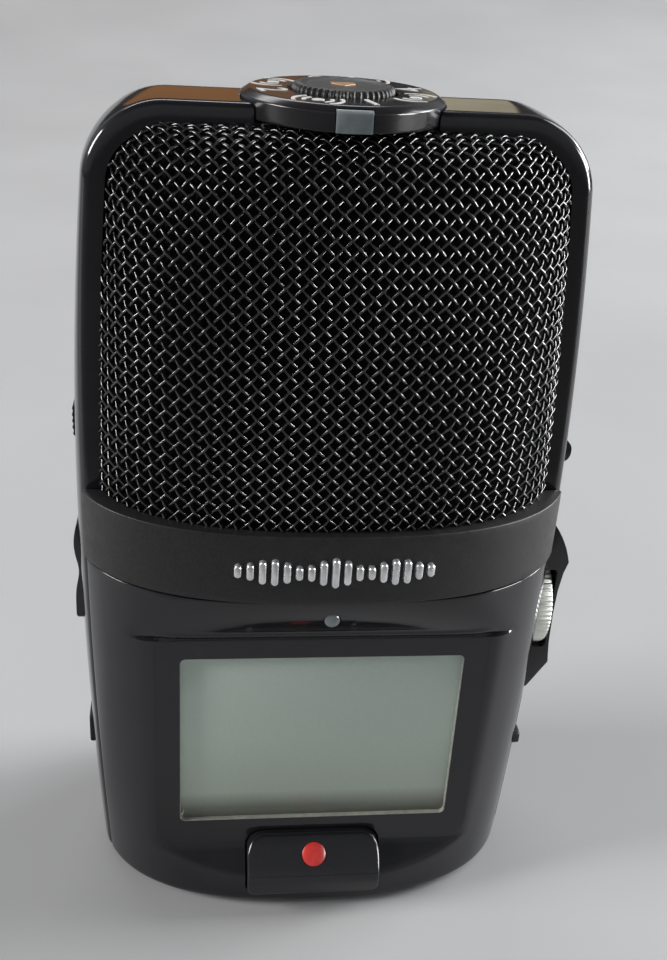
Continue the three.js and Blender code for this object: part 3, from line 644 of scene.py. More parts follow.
def arch_skin():
    """The arch as rings round its wall, thicker over the roof, with rolled edges and the body's bow."""
    px, pz = arch_path()
    tx, tz = np.gradient(px), np.gradient(pz)
    size = np.hypot(tx, tz)
    nx, nz = tz / size, -tx / size
    rows = []
    for i in range(len(px)):
        half = float(arch_half_depth(pz[i]))
        if pz[i] < BASE_Z + FOOT_RADIUS:
            nx[i], nz[i] = np.sign(px[i]), 0.0
        flat = np.linspace(half - ARCH_EDGE, -(half - ARCH_EDGE), 13)
        bend = np.radians([90, 67, 45, 22])
        ys = [*(half - ARCH_EDGE + ARCH_EDGE * np.sin(bend)), *flat,
              *(-(half - ARCH_EDGE) - ARCH_EDGE * np.sin(bend[::-1]))]
        ys = np.array(ys)
        over = np.clip(np.abs(ys) - (half - ARCH_EDGE), 0, ARCH_EDGE)
        rim = ARCH_EDGE - np.sqrt(ARCH_EDGE ** 2 - over ** 2)
        inner = np.array([-half, -half / 3, half / 3, half])
        across = np.concatenate([ys, inner])
        crown = abs(px[i]) * (1 - bowed(np.abs(across) / FULL_DEPTH)) * abs(nx[i])
        wall = ARCH_WALL + (ARCH_ROOF - ARCH_WALL) * abs(nz[i]) ** 4 - float(foot_inset(pz[i]))
        depth = np.concatenate([rim, np.full(4, wall)]) + crown
        rows.append(np.stack([px[i] - nx[i] * depth, across, pz[i] - nz[i] * depth], 1))
    return pipe_of("arch_skin", rows)


def slot_through(node, side, clearance, radius, pad_z=0.0):
    """A cutter for a node's opening in the arch's wall, with room above and below for its travel."""
    y0, y1, z0, z1 = grown(face_of(node, "x"), clearance)
    return prism("cut", rounded(y0, y1, z0 - pad_z, z1 + pad_z, radius), *wall_span(side), "x")


def wall_span(side):
    """Limits in x that reach through the arch's wall on one side."""
    return span(side, 24, 45)


def bore_through(node, side, clearance, steps=56):
    """A cutter for a round node's opening in the arch's wall."""
    low, high = part(node)
    mid = middle(node)
    return prism("cut", circle((high[1] - low[1]) / 2 + clearance, mid[1], mid[2], steps),
                 *wall_span(side), "x")


wheel_mid = middle("gain_cap")
top_low, top_high = part("mode_plate")
plate_radius = (top_high[0] - top_low[0]) / 2
arch = arch_skin()
combine(arch, [
    prism("cut", circle(plate_radius + 0.2, steps=96), top_low[2] - 0.3, 130, "z"),
    prism("cut", circle(2.4, steps=32), 100, 130, "z"),
    bore_through("gain_cap", 1, 0.45, 72),
    bore_through("menu_button", 1, 0.2),
    bore_through("line_in_jack", 1, 0.15),
    slot_through("play_lever", 1, 0.25, 0.7, 0.6),
    slot_through("card_cover", 1, 0.16, 1.0),
    slot_through("power_slider", -1, 0.25, 0.9, 2.1),
    slot_through("volume_rocker", -1, 0.25, 1.3, 0.15),
    bore_through("phones_jack", -1, 0.15),
    bore_through("remote_jack", -1, 0.15),
    slot_through("port_cover", -1, 0.16, 1.2),
])
dress(arch, GLOSS, "body_gloss", "side_arch")


def arc_points(x0, z0, x1, z1, bulge, steps=12):
    """A convex arc between two points, standing off the chord by a bulge."""
    out = []
    for k in range(steps + 1):
        f = k / steps
        lift = 4 * bulge * f * (1 - f)
        dx, dz = x1 - x0, z1 - z0
        size = math.hypot(dx, dz)
        out.append((x0 + dx * f + lift * -dz / size * -1, z0 + dz * f + lift * dx / size * -1))
    return out


rail_low = part("wheel_rail")[0]
wheel_reach_mm = (part("gain_wheel")[1][1] - part("gain_wheel")[0][1]) / 2
guard = prism("wheel_guard", [
    (30.9, 27.7), (33.0, 27.7), (35.8, 32.2), (35.65, 33.6), (35.45, 36), (35.35, 41), (35.5, 45), (35.9, 48),
    *arc_points(36.4, 49.7, 33.0, 56.6, 0.45), (30.9, 56.7), (30.9, 48.5), (34.6, 48.5), (rail_low[0], 48.1),
    (rail_low[0], 35.4), (34.6, 35.0), (30.9, 35.0)], -5.2, 5.2, "y")
wheel_hole = circle(wheel_reach_mm + 0.3, wheel_mid[1], wheel_mid[2], 64)
trim(guard, wheel_hole, 24, rail_low[0] - 0.02, "x")
soften(guard, 0.32, 3, 30)
dress(guard, GLOSS, "body_gloss", "side_arch", "wheel_rail")

# ---------- woven domes ----------
PITCH_MM, WIRE_RADIUS = 1.867, 0.19
CHART_STEP, CHART_REACH, CROWN_Z = 0.4, 46, 104
WIRES_EACH_WAY = 49


def dome_chart(side):
    """The dome's surface at even steps across it and up it, from the middle of its lower edge."""
    z = np.concatenate([np.linspace(DOME_FOOT - 0.5, CROWN_Z, 160)[:-1],
                        DOME_TOP - (DOME_TOP - CROWN_Z) * np.linspace(1, 0.002, 160) ** 2])
    depth = dome_depth(z)
    run = np.concatenate([[0], np.cumsum(np.hypot(np.diff(z), np.diff(depth)))])
    v = np.arange(0, run[-1], CHART_STEP)
    heights = np.interp(v, run, z)
    u = np.arange(-CHART_REACH, CHART_REACH + 0.01, CHART_STEP)
    chart = np.zeros((len(v), len(u), 3))
    f = np.linspace(0, 1, 900)
    for i, h in enumerate(heights):
        edge, b, half = float(dome_edge(h)), float(dome_depth(h)), float(arch_half_depth(h))
        x = edge * 1.04 * (1 - (1 - f) ** 2)
        y = dome_bow(x, edge, b, half)
        along = np.concatenate([[0], np.cumsum(np.hypot(np.diff(x), np.diff(y)))])
        chart[i, :, 0] = np.sign(u) * np.interp(np.abs(u), along, x)
        chart[i, :, 1] = side * np.interp(np.abs(u), along, y)
        chart[i, :, 2] = h
    return u, v, chart


def look_up(field, u, v, at_u, at_v):
    """The field between the chart's points, weighted by nearness."""
    i = np.clip((at_v - v[0]) / CHART_STEP, 0, len(v) - 1.001)
    j = np.clip((at_u - u[0]) / CHART_STEP, 0, len(u) - 1.001)
    i0, j0 = i.astype(int), j.astype(int)
    fi, fj = (i - i0)[:, None], (j - j0)[:, None]
    return (field[i0, j0] * (1 - fi) * (1 - fj) + field[i0 + 1, j0] * fi * (1 - fj)
            + field[i0, j0 + 1] * (1 - fi) * fj + field[i0 + 1, j0 + 1] * fi * fj)


def weave(name, side, family, sides=6, per_crossing=3):
    """One of the two families of wires of a dome, each wire passing over and under those of the other."""
    u, v, chart = dome_chart(side)
    du, dv = np.gradient(chart, axis=1), np.gradient(chart, axis=0)
    out = np.cross(dv, du) if side > 0 else np.cross(du, dv)
    out /= np.linalg.norm(out, axis=2, keepdims=True) + 1e-12
    verts, faces, caps, base = [], [], [], 0
    step = PITCH_MM / 2 / per_crossing
    for k in range(1 - WIRES_EACH_WAY, 1 + WIRES_EACH_WAY):
        offset = (k + 0.5) * PITCH_MM
        at_u = np.arange(-CHART_REACH, CHART_REACH, step)
        at_v = (offset - at_u) if family > 0 else (offset + at_u)
        crossing = (2 * at_u - offset) / PITCH_MM if family > 0 else (2 * at_u + offset) / PITCH_MM
        wave = np.cos(math.pi * (crossing - 0.5 + k))
        inside = (at_v > 0) & (at_v < v[-1])
        if inside.sum() < 4:
            continue
        at_u, at_v, wave = at_u[inside], at_v[inside], wave[inside]
        spot = look_up(chart, u, v, at_u, at_v)
        normal = look_up(out, u, v, at_u, at_v)
        keep = np.abs(spot[:, 1]) > arch_half_depth(spot[:, 2]) - 0.1
        groups = np.split(np.arange(len(keep)), np.flatnonzero(np.diff(keep.astype(int))) + 1)
        for group in groups:
            if not keep[group[0]] or len(group) < 3:
                continue
            centre = spot[group] + normal[group] * (wave[group] * WIRE_RADIUS * 0.95 - WIRE_RADIUS)[:, None]
            ring = swept(centre, normal[group], WIRE_RADIUS, sides)
            verts.append(ring.reshape(-1, 3))
            count = len(group)
            index = base + np.arange(count * sides).reshape(count, sides)
            turned = np.roll(index, -1, axis=1)
            faces.append(np.stack([index[:-1], turned[:-1], turned[1:], index[1:]], -1).reshape(-1, 4))
            caps += [index[0][::-1].tolist(), index[-1].tolist()]
            base += count * sides
    verts, quads = row(np.concatenate(verts)), np.concatenate(faces)
    draft = bpy.data.meshes.new("wires")
    draft.from_pydata(verts.tolist(), [], quads.tolist() + caps)
    draft.update()
    work = bmesh.new()
    work.from_mesh(draft)
    bpy.data.meshes.remove(draft)
    return object_from(name, work)


def lining(name, side, inset=0.85, thick=0.9):
    """A foam sheet just under the wires, reaching the arch and the band all round."""
    rows = []
    f = np.linspace(-1, 1, 90)
    heights = [*np.linspace(DOME_FOOT - 0.6, CROWN_Z, 40),
               *(DOME_TOP - (DOME_TOP - CROWN_Z) * np.linspace(0.94, 0, 26) ** 2)]
    for depth, order in [(inset, heights), (inset + thick, heights[::-1])]:
        for h in order:
            edge, half = float(dome_edge(h)), float(arch_half_depth(h)) - 0.25
            low = min(h, DOME_TOP - depth + 0.4)
            b = max(float(dome_depth(h)) - depth, half + 0.02)
            reach = edge - 0.5
            x = reach * np.sin(f * math.pi / 2)
            y = dome_bow(x, reach, b, half)
            x = np.concatenate([[-edge - 0.7], x, [edge + 0.7]])
            y = np.concatenate([[half], y, [half]])
            rows.append(np.stack([x[::-1], side * y[::-1], np.full_like(x, low)], 1))
    return tube_of(name, rows)


for side, place in [(-1, "front"), (1, "rear")]:
    dress(lining(f"{place}_foam_sheet", side), FOAM, "foam_lining", f"{place}_foam")
    for family, lean in [(1, "rising"), (-1, "falling")]:
        wires = weave(f"{place}_mesh_{lean}", side, family)
        dress(wires, WIRE, "grille_wire", f"{place}_grille", angle=70)

# ---------- display ----------
window = [-19.42, 19.42, 13.5, 42.05]
bezel = prism("bezel_plate", lens_outline, lens_low[1], lens_high[1], "y")
combine(bezel, [prism("cut", hole, *LENS_CUT) for hole in (rounded(*window, 0.8), button_hole)])
dress(bezel, GLOSS, "lens_clear", "display_lens")
# The display is darker towards the bottom of its window: the lowest stops are painted shadow of the frame
# over the recessed screen, and the rest is the screen's own tint.
LCD = upright_blend("lcd_glass", window[2] / 1000, window[3] / 1000, [
    (0.0, (0.12, 0.125, 0.10)), (0.06, (0.16, 0.17, 0.14)), (0.16, (0.40, 0.46, 0.39)),
    (0.5, (0.44, 0.52, 0.45)), (1.0, (0.43, 0.50, 0.45))], 0.22, 0.02)
face = prism("lcd_face", rounded(*grown(window, 0.6), 1.2), lens_low[1] + 0.75, part("lcd_module")[1][1], "y")
soften(face, 0.1, 2)
dress(face, LCD, "lcd_face", "lcd_module")
RIM = finish("lcd_rim_grey", (0.30, 0.30, 0.27), (0.42, 0.42, 0.38), (0.15, 0.25), 0, 900, 0.05, 2500,
             coat=0.3)
rim = prism("lcd_rim", rounded(*grown(window, -0.005), 0.8), lens_low[1] + 0.06, lens_low[1] + 0.78, "y")
trim(rim, rounded(*grown(window, -0.09), 0.72), *LENS_CUT)
dress(rim, RIM, "lens_clear", "lcd_module")

lamp = lathe("status_lamp_dome", [
    (0, lamp_high[1]), (lamp_radius, lamp_high[1]), (lamp_radius, lamp_low[1] + 0.2),
    (lamp_radius - 0.15, lamp_low[1] + 0.05), (lamp_radius * 0.6, lamp_low[1] - 0.05), (0, lamp_low[1] - 0.1),
], "y", [lamp_mid[0], 0, lamp_mid[2]], 40)
dress(lamp, LAMP, "lamp_smoke", "status_lamp")

# ---------- record button ----------
CREASE = (button_low[1], button_low[2] + 3.5)
HEAD, FOOT = (CREASE[0] + 4.2, button_high[2]), (CREASE[0] + 0.6, button_low[2])


def button_section():
    """(y, z) round the button's side view: its head slope and its upright face, joined by a soft crease."""
    points = [(button_high[1], FOOT[1]), (button_high[1], HEAD[1]), HEAD]
    blend_len = 1.4
    up, down = unit(np.subtract(HEAD, CREASE)), unit(np.subtract(FOOT, CREASE))
    start, end = np.array(CREASE) + up * blend_len, np.array(CREASE) + down * blend_len
    for f in np.linspace(0, 1, 8):
        points.append(tuple(start * (1 - f) ** 2 + 2 * f * (1 - f) * np.array(CREASE) + end * f * f))
    return points + [FOOT]


key = prism("record_key_cap", button_section(), button_low[0], button_high[0], "x")
trim(key, rounded(*face_of("record_button", "y"), [1.4, 1.4, 2.6, 2.6]), -40, 0, "y", "INTERSECT")
soften(key, 0.42, 4, 28)
tilt = Matrix.Rotation(math.radians(-40), 4, "X")
dot_profile = [(0, 0.6), (1.7, 0.6), (1.7, -0.08), (1.55, -0.2), (0.9, -0.27), (0, -0.3)]


def tilted(piece, centre):
    piece.data.transform(Matrix.Translation(row(centre)) @ tilt @ Matrix.Translation(-Vector(row([0, 0, 0]))))
    return piece


DOT_CENTRE = [0, -19.6, 9.0]
dot_pocket = lathe("cut", [(0, 0.7), (1.78, 0.7), (1.78, -2), (0, -2)], "y", [0, 0, 0], 48)
combine(key, [tilted(dot_pocket, DOT_CENTRE)])
dress(key, GLOSS, "body_gloss", "record_button", body="record_key")
dot = tilted(lathe("record_dot_inlay", dot_profile, "y", [0, 0, 0], 56), DOT_CENTRE)
dress(dot, RED, "record_red", "record_dot", body="record_key")

# ---------- ornament ----------
def on_front(x, z, outset):
    """The point of the band's front at x, its outward slope, standing off the body's skin."""
    a, b = float(half_width(z)), float(half_depth(z))
    share = min(0.999, abs(x) / a)
    y = -b * float(bowed(share))
    slope = math.atan(-np.sign(x) * b / a * (1 - share ** SQUARENESS) ** (1 / SQUARENESS - 1)
                      * share ** (SQUARENESS - 1))
    normal = np.array([-math.sin(slope), -math.cos(slope), 0])
    return np.array([x, y, z]) + normal * outset, normal


def bar_on_band(work, x, z0, z1, half, low, high):
    """A pill-shaped bar standing on the band's curved front, added to a bmesh."""
    mid, normal = on_front(x, (z0 + z1) / 2, 0)
    across = np.array([-normal[1], normal[0], 0])
    outline = rounded(-half, half, z0 - mid[2], z1 - mid[2], half * 0.98, 5)
    rings = []
    for inset, height in [(0, low), (0, high - 0.22), (0.07, high - 0.07), (0.2, high)]:
        ring = []
        for a, b in outline:
            shrink = 1 - inset / half
            end = (abs(b) - inset) / abs(b) if abs(b) > 1e-6 else 1
            spot = mid + across * a * shrink + np.array([0, 0, b * end]) + normal * height
            ring.append(work.verts.new(row(spot)))
        rings.append(ring)
    n = len(outline)
    for lower, upper in zip(rings, rings[1:]):
        for k in range(n):
            work.faces.new([lower[k], lower[(k + 1) % n], upper[(k + 1) % n], upper[k]])
    work.faces.new(rings[0][::-1])
    work.faces.new(rings[-1])


BARS, BARS_REACH, BARS_Z = 17, 12.1, 58.5
work = bmesh.new()
for k in range(BARS):
    x = -BARS_REACH + 2 * BARS_REACH * k / (BARS - 1)
    swell = 0.5 + 0.5 * math.cos(2 * math.pi * (k - 8) / 5.33)
    tall = 0.9 + 1.15 * swell * (1 - 0.35 * abs(k - 8) / 8)
    bar_on_band(work, x, BARS_Z - tall, BARS_Z + tall, 0.47, 0.1, 1.1)
dress(object_from("level_bars", work), CHROME, "ornament_chrome", "badge", angle=50)

# ---------- top ----------
knob_low, knob_high = part("mode_knob")
knob_radius = (knob_high[0] - knob_low[0]) / 2
window_low, window_high = part("lamp_window_front")
window_half = (window_high[0] - window_low[0]) / 2
window_top = top_high[2] - 0.38
notch_y = -window_high[1]
SHOULDER = from_corner(plate_radius, top_high[2], [(0, -0.85), (0, -0.73), (-0.05, -0.63), (-0.15, -0.55),
                                                   (-0.8, -0.13), (-1.0, -0.04), (-1.2, 0)])
SHAFT_HOLE, CLEAR_GAP = 2.4, 0.12


def window_cutter(side, clearance, top):
    """The outline and levels that part a lamp window from the mode plate."""
    near, far = span(side, notch_y - clearance, 30)
    return rounded(-window_half - clearance, window_half + clearance, near, far, 0.05, 1), 100, top, "z"


plate = lathe("mode_plate_disc", [
    (SHAFT_HOLE, top_low[2]),
    *from_corner(plate_radius, top_low[2], [(-0.2, 0), (-0.06, 0.06), (0, 0.2), (0, 0.35)]),
    *SHOULDER, (plate_radius - 1.4, top_high[2]),
    *from_corner(knob_radius, top_high[2], [(0.7, 0), (0.55, 0), (0.4, -0.15)]),
    (knob_radius + 0.4, knob_low[2] - 0.3), (SHAFT_HOLE, knob_low[2] - 0.3),
], "z", [0, 0, 0], 128)
for side in (-1, 1):
    trim(plate, *window_cutter(side, CLEAR_GAP, window_top + 0.1))
dress(plate, PLATE, "body_gloss", "mode_plate")

for node, side in [("lamp_window_front", -1), ("lamp_window_rear", 1)]:
    low = part(node)[0]
    wall = [(r + 0.04, z) for r, z in [(plate_radius, low[2]), *SHOULDER]]
    pane = lathe(node + "_pane", [(0, low[2]), *wall, (0, top_high[2])], "z", [0, 0, 0], 128)
    trim(pane, *window_cutter(side, 0.0, window_top), "INTERSECT")
    soften(pane, 0.12, 2, 40)
    dress(pane, LAMP, "lamp_smoke", node)

KNOB_TEETH, WHEEL_TEETH = 46, 60


def knob_reach(turn, r):
    """Knurls the knob's side and leaves its top plain."""
    if r < knob_radius - 1.0:
        return r
    return r - 0.24 * (0.5 - 0.5 * math.cos(KNOB_TEETH * turn)) ** 1.5


knob = lathe("mode_knob_cap", [
    (0, knob_low[2]), *from_corner(knob_radius, knob_low[2], [(-0.3, 0), (-0.05, 0.25)]),
    *from_corner(knob_radius, knob_high[2], [
        (0, -0.8), (-0.07, -0.5), (-0.25, -0.2), (-0.5, -0.05),
        (-0.8, 0), (-1.3, -0.03), (-1.5, -0.16), (-2.0, -0.2)]),
    (0, knob_high[2] - 0.14),
], "z", [0, 0, 0], KNOB_TEETH * 10, knob_reach)
dress(knob, SATIN, "band_satin", "mode_knob", body="mode_dial")
GOLD = finish("pointer_gold", (0.20, 0.11, 0.045), (0.28, 0.165, 0.075), (0.45, 0.55), 0.3, 1800, 0.1, 4000)
arrow = prism("mode_pointer", [(-1.5, 1.1), (-1.5, 0.1), (0, -1.4), (1.5, 0.1), (1.5, 1.1)],
              knob_high[2] - 0.3, knob_high[2] - 0.01, "z")
soften(arrow, 0.08, 2, 30)
dress(arrow, GOLD, "wheel_silver", body="mode_dial")


def numeral(text, x, y, turn, size, top):
    """A raised printed figure lying on the mode plate."""
    letters = bpy.data.curves.new("numeral", "FONT")
    letters.body = text
    letters.size = size / 1000
    letters.extrude = 0.00004
    letters.align_x = "CENTER"
    letters.align_y = "CENTER"
    letters.resolution_u = 4
    carrier = linked("numeral", letters)
    carrier.matrix_world = Matrix.Translation(row([x, y, top])) @ Matrix.Rotation(turn, 4, "Z")
    bpy.context.view_layer.update()
    mesh = bpy.data.meshes.new_from_object(carrier.evaluated_get(bpy.context.evaluated_depsgraph_get()))
    mesh.transform(carrier.matrix_world)
    bpy.data.objects.remove(carrier)
    return mesh


def ripple(work, centre, angle, radius, side, low, high, spread=42, width=0.42, steps=12):
    """One printed arc beside a dot, its bow lying along the ring."""
    along = Vector((-math.sin(angle), math.cos(angle), 0))
    inwards = Vector((-math.cos(angle), -math.sin(angle), 0))
    loops = []
    for k in range(steps + 1):
        turn = math.radians(-spread + 2 * spread * k / steps)
        sides = []
        for reach in (radius - width / 2, radius + width / 2):
            spot = Vector(centre) + along * side * reach * math.cos(turn) + inwards * reach * math.sin(turn)
            sides.append([spot[0], spot[1]])
        corners = ((0, low), (1, low), (1, high), (0, high))
        loops.append([work.verts.new(row([*sides[i], z])) for i, z in corners])
    for a, b in zip(loops, loops[1:]):
        for i in range(4):
            work.faces.new([a[i], a[(i + 1) % 4], b[(i + 1) % 4], b[i]])
    work.faces.new(loops[0])
    work.faces.new(loops[-1][::-1])


work = bmesh.new()
ring_radius = (plate_radius - 1 + knob_radius + 0.4) / 2
NUMERAL_SIZE, NUMERAL_TURN, DOT_TURN, ARC_RADII = 5.2, 15, -25, (1.7, 2.9)
for k, degrees in enumerate([-90, 180, 90, 0]):
    angle = math.radians(degrees + NUMERAL_TURN)
    work.from_mesh(numeral(str(k + 1), ring_radius * math.cos(angle), ring_radius * math.sin(angle),
                           angle + math.pi / 2, NUMERAL_SIZE, top_high[2] + 0.02))
    angle = math.radians(degrees + DOT_TURN)
    centre = (ring_radius * math.cos(angle), ring_radius * math.sin(angle), 0)
    bmesh.ops.create_cone(work, cap_ends=True, segments=24, radius1=0.00075, radius2=0.00073, depth=0.00008,
                          matrix=Matrix.Translation(row([*centre[:2], top_high[2] + 0.015])))
    for radius in ARC_RADII:
        for side in (-1, 1):
            ripple(work, centre, angle, radius, side, top_high[2] - 0.02, top_high[2] + 0.05)
bmesh.ops.remove_doubles(work, verts=work.verts[:], dist=1e-7)
dress(object_from("mode_marks", work), PRINT, "ornament_chrome", angle=30)

# ---------- right side ----------
wheel_low, wheel_high = part("gain_wheel")
cap_low, cap_high = part("gain_cap")
wheel_radius = (wheel_high[1] - wheel_low[1]) / 2


def wheel_reach(turn, r):
    """Ribs the wheel's rim and leaves its faces plain."""
    if r < wheel_radius - 0.55:
        return r
    return r - 0.2 * (0.5 - 0.5 * math.cos(WHEEL_TEETH * turn))


rim_out = cap_high[0] - 0.15
wheel = lathe("gain_wheel_rim", [
    (0, 28.3), (1.5, 28.3), (1.5, wheel_low[0] + 2.2),
    *from_corner(wheel_radius, wheel_low[0], [(-0.5, 2.2), (-0.15, 2.3), (0, 2.6)]),
    *from_corner(wheel_radius, rim_out, [(0, -0.3), (-0.12, -0.08), (-0.35, 0)]), (0, rim_out),
], "x", [0, wheel_mid[1], wheel_mid[2]], WHEEL_TEETH * 6, wheel_reach)
dress(wheel, SILVER, "wheel_silver", "gain_wheel", body="gain_dial", angle=50)
cap_radius = (cap_high[1] - cap_low[1]) / 2 - 0.9
cap = lathe("gain_wheel_cap", [
    (0, rim_out - 0.5), (cap_radius, rim_out - 0.5),
    *from_corner(cap_radius, cap_high[0], [(0, -0.1), (-0.1, 0), (-2.2, 0), (-2.6, -0.2)]),
    (0, cap_high[0] - 0.25),
], "x", [0, wheel_mid[1], wheel_mid[2]], 96)
dress(cap, MOULDED, "body_gloss", "gain_cap", body="gain_dial")

menu_low, menu_high = part("menu_button")
menu_mid = middle("menu_button")
r = (menu_high[1] - menu_low[1]) / 2
menu = lathe("menu_key_cap", [
    (0, menu_low[0]), (r, menu_low[0]),
    *from_corner(r, menu_high[0], [(0, -0.35), (-0.1, -0.1), (-0.35, 0), (-0.7, -0.03)]),
    (0, menu_high[0] - 0.15)], "x", [0, menu_mid[1], menu_mid[2]], 56)
dress(menu, GLOSS, "body_gloss", "menu_button", body="menu_key")


def side_prism(name, node, outline, radius, side):
    """A key in the arch's wall: an outline of (x, z) across its depth, its ends rounded in side view."""
    piece = prism(name, outline, *face_of(node, "x")[:2], "y")
    return trim(piece, rounded(*face_of(node, "x"), radius), *span(side, 20, 45), "x", "INTERSECT")


low, high = part("play_lever")
mid_z = (low[2] + high[2]) / 2
lever = side_prism("play_lever_cap", "play_lever", [
    (low[0], low[2]), *[(high[0] - 0.95 * abs(f) ** 2.6, mid_z + f * (high[2] - low[2]) / 2)
                        for f in np.linspace(-1, 1, 25)], (low[0], high[2])], 0.5, 1)
soften(lever, 0.16, 3, 25)
dress(lever, GLOSS, "body_gloss", "play_lever", body="play_key")

# ---------- left side ----------
low, high = part("power_slider")
mid_z, tall = (low[2] + high[2]) / 2, (high[2] - low[2]) / 2
ribs = [(high[0], low[2])]
for f in np.linspace(-1, 1, 121):
    ridge = 0.13 * max(0, math.cos(6.5 * math.pi * f)) ** 0.5 * (abs(f) < 0.85)
    ribs.append((low[0] + 0.16 - ridge + 0.42 * abs(f) ** 4, mid_z + f * tall))
ribs.append((high[0], high[2]))
slider = side_prism("power_slider_cap", "power_slider", ribs, 0.6, -1)
dress(slider, SATIN, "band_satin", "power_slider", body="power_key")

low, high = part("volume_rocker")
mid_z = (low[2] + high[2]) / 2
tall = (high[2] - low[2]) / 2
lobes = [(high[0], low[2])]
for f in np.linspace(-1, 1, 65):
    taper = 0.75 * max(0, (f - 0.45) / 0.55) ** 2 + 0.35 * max(0, -f - 0.9) / 0.1
    lobes.append((low[0] + 0.6 * math.exp(-(f / 0.3) ** 2) + taper, mid_z + f * tall))
lobes.append((high[0], high[2]))
rocker = side_prism("volume_rocker_cap", "volume_rocker", lobes, 1.1, -1)
soften(rocker, 0.18, 3, 40)
dress(rocker, GLOSS, "body_gloss", "volume_rocker", body="volume_key")


def jack_ring(name, node, side, face, bore):
    """A round socket with a rounded lip, a dark bore and a bright contact sleeve just inside it."""
    low, high = part(node)
    mid = middle(node)
    r = (high[1] - low[1]) / 2
    inner = low[0] if side > 0 else high[0]
    x = lambda depth: face - side * depth
    ring = lathe(name, [
        (0, inner), (r, inner), (r, x(0.3)), (r - 0.1, x(0.08)), (r - 0.35, x(0)), (bore + 0.45, x(0)),
        (bore + 0.15, x(0.12)), (bore, x(0.45)), (bore, x(7)), (0, x(7))], "x", [0, mid[1], mid[2]], 64)
    dress(ring, MOULDED, "moulded_black", node)
    sleeve = lathe(name + "_sleeve", [
        (bore - 0.02, x(0.9)), (bore - 0.02, x(2.4)), (bore - 0.28, x(2.4)), (bore - 0.28, x(1.05)),
        (bore - 0.18, x(0.9))], "x", [0, mid[1], mid[2]], 48)
    dress(sleeve, STEEL, "steel_bright")


jack_ring("line_in_ring", "line_in_jack", 1, part("line_in_jack")[1][0], 1.75)
jack_ring("phones_ring", "phones_jack", -1, part("phones_jack")[0][0], 1.75)
jack_ring("remote_ring", "remote_jack", -1, part("remote_jack")[0][0], 1.25)


def side_patch(name, side, thick):
    """A piece of the arch's side skin, large enough for any flap to be cut from."""
    zs, ys = np.linspace(3, 30, 60), np.linspace(-8.6, 8.6, 40)
    rows = []
    for depth in (0.0, thick):
        for z in zs if depth == 0 else zs[::-1]:
            x = half_width(z) * bowed(np.abs(ys) / FULL_DEPTH) - depth
            rows.append(np.stack([side * x, ys, np.full_like(ys, z)], 1))
    return tube_of(name, rows)


def flap(name, node, side, material, slot_name, body, radius, tab, grooves):
    """A cover flush with the arch: rounded corners, a raised finger tab and fine grooves in the tab."""
    low, high = part(node)
    piece = side_patch(name, side, 1.7)
    trim(piece, rounded(*face_of(node, "x"), radius), *span(side, 20, 45), "x", "INTERSECT")
    face = float(half_width((tab[2] + tab[3]) / 2))
    reach = high[0] if side > 0 else -low[0]
    raised = prism("tab", rounded(*tab, 0.6), *span(side, face - 1.2, reach), "x")
    soften(raised, 0.3, 3, 40)
    combine(piece, [raised], "UNION")
    cuts = []
    for k in range(grooves):
        z = tab[2] + 0.75 + k * (tab[3] - tab[2] - 1.5) / max(1, grooves - 1)
        cuts.append(prism("cut", rounded(tab[0] + 0.4, tab[1] - 0.4, z - 0.14, z + 0.14, 0.1, 3),
                          *span(side, reach - 0.25, 45), "x"))
    combine(piece, cuts)
    return dress(piece, material, slot_name, node, body=body)


low, high = part("card_cover")
flap("card_cover_flap", "card_cover", 1, SATIN, "band_satin", "card_door", 0.9,
     [low[1] + 0.9, high[1] - 0.9, 18.1, 20.3], 2)
low, high = part("port_cover")
flap("port_cover_flap", "port_cover", -1, RUBBER, "rubber_black", "port_door", 1.1, [-3, 3, 16.9, 21.9], 4)

# ---------- latch, base and screws ----------
low, high = part("battery_latch")
teeth = [(high[1] - 1.2, low[2]), (high[1] - 0.35, low[2])]
RIDGES = 5
for k in range(RIDGES):
    z = low[2] + 0.45 + k * (high[2] - low[2] - 0.9) / (RIDGES - 1)
    teeth += [(high[1], z - 0.16), (high[1], z + 0.16)]
    if k < RIDGES - 1:
        teeth += [(high[1] - 0.4, z + 0.3), (high[1] - 0.4, z + 0.48)]
teeth += [(high[1] - 0.35, high[2]), (high[1] - 1.2, high[2])]
latch = prism("battery_latch_grip", teeth, low[0], high[0], "x")
trim(latch, rounded(*face_of("battery_latch", "y"), 0.7), 10, 30, "y", "INTERSECT")
soften(latch, 0.06, 2, 25)
dress(latch, SATIN, "band_satin", "battery_latch", body="door_latch")

base_low, base_high = part("base_plate")


def base_section(a, b, steps=180):
    t = np.arange(steps) * 2 * math.pi / steps
    return np.stack([a * eased(np.cos(t)), b * eased(np.sin(t))], 1)


bend = np.radians(np.linspace(0, 90, 7))
profile = [(0.5 * (1 - math.sin(a)), 0.5 * (1 - math.cos(a))) for a in bend]
profile += [(0, 2.0), (0.06, 2.14), (0.2, 2.2)]
rings = []
for inset, z in profile:
    flat = base_section((base_high[0] - base_low[0]) / 2 - inset, (base_high[1] - base_low[1]) / 2 - inset)
    rings.append(np.concatenate([flat, np.full((len(flat), 1), z)], 1))
base = pipe_of("base_plate_skin", rings)
insert_low, insert_high = part("tripod_insert")
insert_radius = (insert_high[0] - insert_low[0]) / 2
screw_mids = [middle("base_screw_left"), middle("base_screw_right")]
combine(base, [prism("cut", circle(insert_radius + 0.15, steps=72), -2, 4, "z")]
        + [prism("cut", circle(2.3, m[0], m[1], 48), -2, 1.4, "z") for m in screw_mids]
        + [prism("cut", circle(1.3, m[0], m[1], 32), 1, 4, "z") for m in screw_mids]
        + [prism("cut", rounded(x - 4, x + 4, -13.2, -10.8, 1.19), -1, 0.25, "z") for x in (-19, 19)])
soften(base, 0.12, 2, 50)
dress(base, MOULDED, "band_satin", "base_plate")

